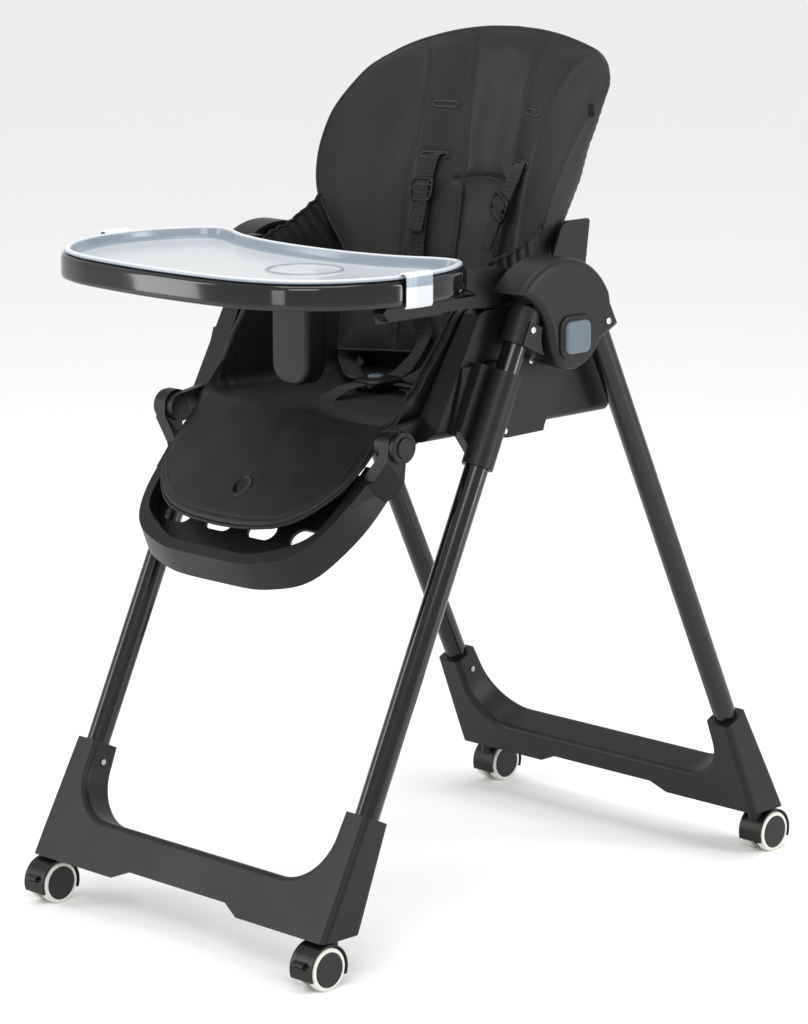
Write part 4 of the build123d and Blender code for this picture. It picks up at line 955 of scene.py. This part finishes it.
class HIGHCHAIR_OT_harness(bpy.types.Operator):
    """Shoulder straps, their ladder adjusters, lap straps, crotch strap and buckle"""

    bl_idname = "highchair.harness"
    bl_label = "Harness"

    def execute(self, context):
        straps = context.scene.high_chair.straps
        self.width, self.thickness = straps.width, straps.thickness
        runs = {
            "left": [(-73, 868), (-72.5, 850), (-71.5, 822), (-70, 790),
                     (-68, 755), (-63, 715), (-54, 680), (-42, 652)],
            "right": [(72.5, 868), (70, 852), (62, 830), (52, 808), (43, 786),
                      (36, 762), (30, 722), (25, 688), (22, 658)],
        }
        for name, run in runs.items():
            points, outward = [], []
            for x, z in run:
                edge = abs(x) + 12.5
                near, far = (7.0, 5.4) if name == "left" else (12, 8)
                lead = between(z, [(640, 15), (700, 9), (780, near), (840, far), (868, -2)])
                points.append(place(x, back_front(edge, z) - lead, z))
                outward.append(Vector((0.0 if name == "left" else -0.25, -1, 0.2)).normalized())
            points.insert(0, place(run[0][0], back_front(73, 868) + 12, 869))
            outward.insert(0, outward[0])
            points.append(place(run[-1][0] * 0.55, 8, 624))
            outward.append(Vector((0, -0.75, 0.65)))
            points.append(place(run[-1][0] * 0.4, -26, 615))
            outward.append(Vector((0, -0.1, 1)))
            path = smooth_line(points, 90)
            facing = [outward[min(len(outward) - 1, int(i * len(outward) / 90))] for i in range(90)]
            facing = self.smoothed(facing)
            strap = ribbon(f"shoulder_strap_{name}", path, facing, self.width, self.thickness)
            if name == "left":
                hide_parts("shoulder_straps")
            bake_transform(strap)
            index = min(range(90), key=lambda i: abs(path[i].z - (829 if name == "left" else 818) * MM))
            self.adjuster(name, path, facing, index)
        self.lap()
        return {"FINISHED"}

    def smoothed(self, vectors):
        result = vectors
        for _ in range(12):
            result = [(result[max(0, i - 1)] + result[i] + result[min(len(result) - 1, i + 1)]).normalized()
                      for i in range(len(result))]
        return result

    def adjuster(self, name, path, facing, index):
        """A ladder-lock: a frame of rounded bars with webbing laid over its middle bar."""
        along = (path[index + 2] - path[index - 2]).normalized()
        out = (facing[index] - along * facing[index].dot(along)).normalized()
        side = along.cross(out).normalized()
        centre = path[index] + out * 2.4 * MM
        half_w, half_h = 16.5, 13.5
        outline = []
        for k in range(48):
            turn = 2 * pi * k / 48
            a, b = cos(turn), sin(turn)
            outline.append(centre + side * half_w * MM * (abs(a) ** 0.35) * (1 if a > 0 else -1)
                           + along * half_h * MM * (abs(b) ** 0.35) * (1 if b > 0 else -1))
        body = cord_mesh(f"strap_adjuster_{name}", outline, 2.0 * MM, finish_of(satin_nylon),
                         closed=True)
        dress(body, "backrest", "harness_plastic", *(["strap_adjusters"] if name == "left" else []))
        for count, shift in enumerate((-5.0, 3.5)):
            ends = [centre + side * s * half_w * MM + along * shift * MM + out * 0.6 * MM
                    for s in (-1, -0.5, 0, 0.5, 1)]
            bar = cord_mesh(f"adjuster_bar_{name}_{count + 1}", ends, 1.7 * MM, finish_of(satin_nylon))
            dress(bar, "backrest", "harness_plastic")
        tail_path = [path[index] + along * t * MM + out * lift * MM
                     for t, lift in ((-12, 1.0), (-8, 3.4), (-4, 4.8), (0, 4.9),
                                     (6, 3.2), (18, 2.4), (34, 2.2), (52, 3.0))]
        tail_path = smooth_line(tail_path, 40)
        tail = ribbon(f"strap_tail_{name}", tail_path, [out] * 40, self.width, self.thickness)
        dress(tail, "backrest", "webbing")

    def lap(self):
        """Lap straps from the seat's rear corners, the crotch strap and the buckle they meet at."""
        for name, side in (("left", -1), ("right", 1)):
            points = [place(side * x, y, z) for x, y, z in
                      ((153, 44, 632), (140, 26, 620), (112, 4, 613),
                       (80, -22, 612.5), (48, -44, 615), (26, -54, 618))]
            path = smooth_line(points, 50)
            up = [Vector((side * -0.5 * (1 - i / 49), 0.1, 1)).normalized() for i in range(50)]
            strap = ribbon(f"lap_strap_{name}", path, up, self.width, self.thickness)
            dress(strap, "seat", "webbing", *(["lap_straps"] if side < 0 else []))
        points = [place(0, y, z) for y, z in ((-150, 605), (-140, 609), (-118, 616), (-96, 619), (-82, 618))]
        path = smooth_line(points, 40)
        up = [Vector((0, -0.2, 1)).normalized()] * 40
        strap = ribbon("crotch_strap", path, up, self.width, self.thickness)
        dress(strap, "seat", "webbing")
        rows = []
        for scale, z in ((0.86, 610), (0.97, 612), (1.0, 615), (1.0, 619),
                         (0.95, 622), (0.8, 624), (0.4, 624.6), (0.02, 624.8)):
            ring = []
            for k in range(56):
                turn = 2 * pi * k / 56
                a, b = cos(turn), sin(turn)
                taper = 1 - 0.16 * b
                ring.append(place(23 * scale * taper * (abs(a) ** 0.5) * (1 if a > 0 else -1),
                                  -62 - 29 * scale * (abs(b) ** 0.55) * (1 if b > 0 else -1), z))
            rows.append(ring)
        buckle = outwards(woven_rows("harness_buckle", rows, finish_of(satin_nylon),
                                     closed=True, caps=True))
        dress(buckle, "seat", "harness_plastic", "buckle")
        rows = []
        for scale, z in ((1.0, 623.5), (1.0, 626.0), (0.88, 627.2), (0.5, 627.6), (0.02, 627.7)):
            rows.append([place(9.5 * scale * cos(2 * pi * k / 40), -64 + 9.5 * scale * sin(2 * pi * k / 40), z)
                         for k in range(40)])
        press = outwards(woven_rows("buckle_button", rows, finish_of(button_plastic), closed=True, caps=True))
        dress(press, "seat", "button_plastic")


# ---- tray -------------------------------------------------------------------------------
def tray_line(inset, count=168):
    """The tray's outline moved inwards, as evenly spaced (x, y) points."""
    half = [
        (0, -420 + inset), (98 - inset * 0.2, -414.5 + inset * 0.98), (150 - inset * 0.5, -404 + inset * 0.9),
        (190 - inset * 0.75, -384 + inset * 0.75), (224 - inset * 0.9, -347 + inset * 0.5),
        (245 - inset * 0.97, -302 + inset * 0.25), (254 - inset, -250),
        (247 - inset * 0.99, -192 - inset * 0.1), (227 - inset * 0.9, -147 - inset * 0.5),
        (203 - inset * 0.3, -125 - inset), (172 + inset * 0.1, -128 - inset),
        (128 + inset * 0.1, -149 - inset), (66, -164 - inset), (0, -168 - inset),
    ]
    loop = [(x, y, 0) for x, y in half] + [(-x, y, 0) for x, y in reversed(half[1:-1])]
    loop = loop[-3:] + loop + loop[:4]
    fine = smooth_line(loop, 6 * count)
    start = min(range(len(fine) // 2), key=lambda i: (fine[i] - Vector(half[0] + (0,))).length)
    stop = min(range(len(fine) // 2, len(fine)), key=lambda i: (fine[i] - Vector(half[0] + (0,))).length)
    body = fine[start:stop + 1]
    return smooth_line([body[i] for i in range(0, len(body) - 3, 5)] + [body[-1]], count + 1)[:-1]


def tray_rows(profile):
    """Rings for a profile of (inset, z) pairs, with both ends drawn in to a point at the middle."""
    rows = []
    for inset, z in profile:
        rows.append([place(p.x, p.y, z) for p in tray_line(inset)])
    for end, put in ((rows[0], lambda row: rows.insert(0, row)), (rows[-1], rows.append)):
        middle = place(0, -285, end[0].z / MM)
        for share in (0.12, 0.3, 0.5, 0.7, 0.85, 0.96, 0.998):
            put([p.lerp(middle, share) for p in end])
    return rows


def rounded_corner(centre, radius, start, stop, steps):
    """(inset, z) points on an arc, with angles in degrees."""
    return [(centre[0] + radius * cos(radians(start + (stop - start) * k / steps)),
             centre[1] + radius * sin(radians(start + (stop - start) * k / steps))) for k in range(steps + 1)]


class HIGHCHAIR_OT_tray(bpy.types.Operator):
    """Gloss tray body with a rolled top edge and a turned-in lower edge"""

    bl_idname = "highchair.tray"
    bl_label = "Tray"

    def execute(self, context):
        profile = [(24, 770.5), (12, 770.5), (4.4, 768), (3.6, 762),
                   (3.2, 758.6), (2.3, 757.2), (1.1, 757.4), (0.4, 758.6)]
        profile += [(0.0, 762), (0.0, 768), (0.0, 773), (0.1, 777)]
        profile += rounded_corner((7.5, 778.5), 7.4, 180, 90, 8)[1:]
        profile += [(8.6, 785.6), (9.2, 784.6), (9.4, 780), (10.5, 774.4), (24, 773.6)]
        tray = outwards(woven_rows("tray_body", tray_rows(profile), finish_of(gloss_abs),
                                   closed=True, caps=True))
        modify(tray, "SUBSURF", levels=1, render_levels=2)
        dress(tray, "tray", "tray_gloss", "tray_base")
        return {"FINISHED"}


class HIGHCHAIR_OT_insert(bpy.types.Operator):
    """Thin lift-off tub with a rolled rim, a cup ring and two clip straps"""

    bl_idname = "highchair.insert"
    bl_label = "Tray Insert"

    def execute(self, context):
        milky = finish_of(milky_polypropylene)
        profile = [(26, 775.6), (16, 775.6), (11.5, 777.2), (10.0, 781),
                   (9.4, 786.0), (7.0, 786.8), (4.2, 786.6), (3.4, 787.6)]
        profile += [(4.2, 789.6), (6.4, 791.0), (9.2, 791.0), (11.0, 789.8), (11.9, 786), (13.4, 780.4), (16.5, 777.7),
                    (26, 777.0)]
        rows = tray_rows(profile)
        tub = outwards(woven_rows("insert_tub", rows, milky, closed=True, caps=True))
        modify(tub, "SUBSURF", levels=1, render_levels=1)
        dress(tub, "tray_insert", "insert_plastic", "tray_insert")
        rings = []
        for radius, z in ((45.5, 777.0), (44.6, 778.6), (43.4, 779.3), (42.0, 779.2), (40.8, 778.2), (40.2, 777.0)):
            rings.append([place(74 + radius * cos(2 * pi * k / 72), -248 + radius * sin(2 * pi * k / 72), z)
                          for k in range(72)])
        ring = outwards(woven_rows("cup_ring", rings, milky, closed=True))
        dress(ring, "tray_insert", "insert_plastic")
        for name, side in (("left", -1), ("right", 1)):
            self.clip(name, side)
        return {"FINISHED"}

    def clip(self, name, side):
        """A strap from the rim over the tray's edge and down its outside."""
        section = [(-9.0, 788.6), (-5.0, 791.9), (-1.0, 792.3), (1.4, 791.2), (2.4, 788),
                   (2.6, 780), (2.6, 766), (2.4, 758), (0.6, 755.2)]
        curve = smooth_line([(x, z, 0) for x, z in section], 26)
        rows = []
        for k in range(19):
            y = -268 + 40 * k / 18
            edge = max(p.x for p in tray_line(0) if abs(p.y - y) < 6)
            rows.append([place(side * (edge + p.x), y, p.y) for p in curve])
        strap = woven_rows(f"insert_clip_{name}", rows, finish_of(milky_polypropylene))
        modify(strap, "SOLIDIFY", thickness=1.7 * MM, offset=-1.0 if side < 0 else 1.0)
        modify(strap, "BEVEL", width=0.5 * MM, segments=2)
        dress(strap, "tray_insert", "insert_plastic", *(["insert_clips"] if side < 0 else []))


class HIGHCHAIR_OT_snap_buttons(bpy.types.Operator):
    """Spring buttons that lock the lower tubes in the upper ones"""

    bl_idname = "highchair.snap_buttons"
    bl_label = "Snap Buttons"

    def execute(self, context):
        for end, lean, way, body in (("front", 25.0, -1, "front_frame"), ("rear", 25.6, 1, "rear_frame")):
            lean = radians(lean)
            y0, z0 = way * 59 * cos(lean), 697 + 59 * sin(lean)
            for name, side in (("left", -1), ("right", 1)):
                for count, down in enumerate((450, 492)):
                    y = y0 + way * sin(lean) * down
                    z = z0 - cos(lean) * down
                    out = Vector((0, way * cos(lean), sin(lean))) * (1 if end == "rear" else -1)
                    middle = place(side * 231, y, z) + out * 13.4 * MM
                    a = Vector((1, 0, 0))
                    b = out.cross(a)
                    rows = [[middle + out * h * MM + (a * cos(2 * pi * k / 20) + b * sin(2 * pi * k / 20)) * r * MM
                             for k in range(20)]
                            for r, h in ((2.9, -0.5), (2.9, 1.2), (2.4, 2.0), (1.4, 2.5), (0.05, 2.6))]
                    pin = outwards(woven_rows(f"snap_button_{end}_{name}_{count + 1}", rows,
                                              finish_of(bright_rivet_steel), closed=True, caps=True))
                    dress(pin, body, "rivet_steel")
        return {"FINISHED"}


class HIGHCHAIR_OT_finishes(bpy.types.Operator):
    """Gives every moulded and metal part its finish"""

    bl_idname = "highchair.finishes"
    bl_label = "Finishes"

    def execute(self, context):
        slots = {row["node"]: row["material_slot"] for row in frame["record"]["subparts"]}
        for node, piece in NODES.items():
            material = finish_of(FINISHES[slots[node]])
            if not piece.material_slots:
                piece.data.materials.append(material)
            for slot in piece.material_slots:
                slot.material = material
        return {"FINISHED"}


# ---- stage ------------------------------------------------------------------------------
class HIGHCHAIR_OT_stage(bpy.types.Operator):
    """Pale floor, soft studio light and the camera"""

    bl_idname = "highchair.stage"
    bl_label = "Stage"

    def execute(self, context):
        scene = context.scene
        settings = scene.high_chair.stage
        scene.view_settings.view_transform = "Standard"
        material, tree, shader, where = start_material("Painted floor, matt", settings.floor, **{"Roughness": 0.8})
        grain = add(tree, "ShaderNodeTexNoise", {"Scale": 3.0}, {"Vector": where})
        tint(tree, shader, grain.outputs[0], shade(settings.floor, 0.995), settings.floor)
        floor = make_object("floor", [(-30, -30, 0), (30, -30, 0), (30, 30, 0), (-30, 30, 0)], [(0, 1, 2, 3)],
                            material, smooth=False)
        world = bpy.data.worlds.new("Soft studio")
        world.use_nodes = True
        sky = world.node_tree.nodes["Background"]
        sky.inputs[0].default_value = (1.0, 1.0, 1.0, 1.0)
        sky.inputs[1].default_value = settings.ambient
        scene.world = world
        for name, spot, size, power in (
            ("key", (2.2, -2.6, 2.9), (1.5, 1.5), 42),
            ("left_bank", (-2.2, -2.6, 1.2), (0.9, 2.2), 34),
            ("right_bank", (2.9, 1.4, 1.3), (0.6, 2.4), 48),
            ("top", (0.2, -0.2, 3.4), (1.8, 1.8), 30),
            ("low_front", (1.2, -3.6, 0.9), (0.9, 1.5), 15),
        ):
            self.softbox(name, Vector(spot), size, power)
        lens = bpy.data.cameras.new("camera")
        lens.lens = settings.lens
        lens.sensor_width = 36
        lens.clip_end = 60
        camera = bpy.data.objects.new("camera", lens)
        camera.location = settings.camera_at
        camera.rotation_euler = (radians(90 - 11.67), 0, radians(45.12))
        bpy.context.collection.objects.link(camera)
        scene.camera = camera
        return {"FINISHED"}

    def softbox(self, name, spot, size, power):
        lamp = bpy.data.lights.new(name, "AREA")
        lamp.shape = "RECTANGLE"
        lamp.size, lamp.size_y = size
        lamp.energy = power
        holder = bpy.data.objects.new(name, lamp)
        holder.location = spot
        aim = Vector((0, 0, 0.6)) - spot
        holder.rotation_euler = aim.to_track_quat("-Z", "Y").to_euler()
        bpy.context.collection.objects.link(holder)


STEPS = [HIGHCHAIR_OT_finishes, HIGHCHAIR_OT_back_cover, HIGHCHAIR_OT_back_stitching, HIGHCHAIR_OT_seat_cover,
         HIGHCHAIR_OT_badge, HIGHCHAIR_OT_side_gussets, HIGHCHAIR_OT_harness, HIGHCHAIR_OT_tray,
         HIGHCHAIR_OT_insert, HIGHCHAIR_OT_snap_buttons, HIGHCHAIR_OT_stage]


class HIGHCHAIR_PT_panel(bpy.types.Panel):
    """Lists the high chair's settings and steps"""

    bl_label = "High Chair"
    bl_idname = "HIGHCHAIR_PT_panel"
    bl_space_type = "VIEW_3D"
    bl_region_type = "UI"
    bl_category = "High Chair"

    def draw(self, context):
        settings = context.scene.high_chair
        for name, group in GROUPS.items():
            box = self.layout.box()
            box.label(text=name.title())
            for key in group.__annotations__:
                box.prop(getattr(settings, name), key)
        for step in STEPS:
            self.layout.operator(step.bl_idname)


CLASSES = [*GROUPS.values(), HighChairSettings, *STEPS, HIGHCHAIR_PT_panel]


def register():
    for cls in CLASSES:
        bpy.utils.register_class(cls)
    bpy.types.Scene.high_chair = PointerProperty(type=HighChairSettings)


def unregister():
    del bpy.types.Scene.high_chair
    for cls in reversed(CLASSES):
        bpy.utils.unregister_class(cls)


def main():
    register()
    for step in STEPS:
        group, name = step.bl_idname.split(".")
        getattr(getattr(bpy.ops, group), name)()


if __name__ == "__main__":
    main()
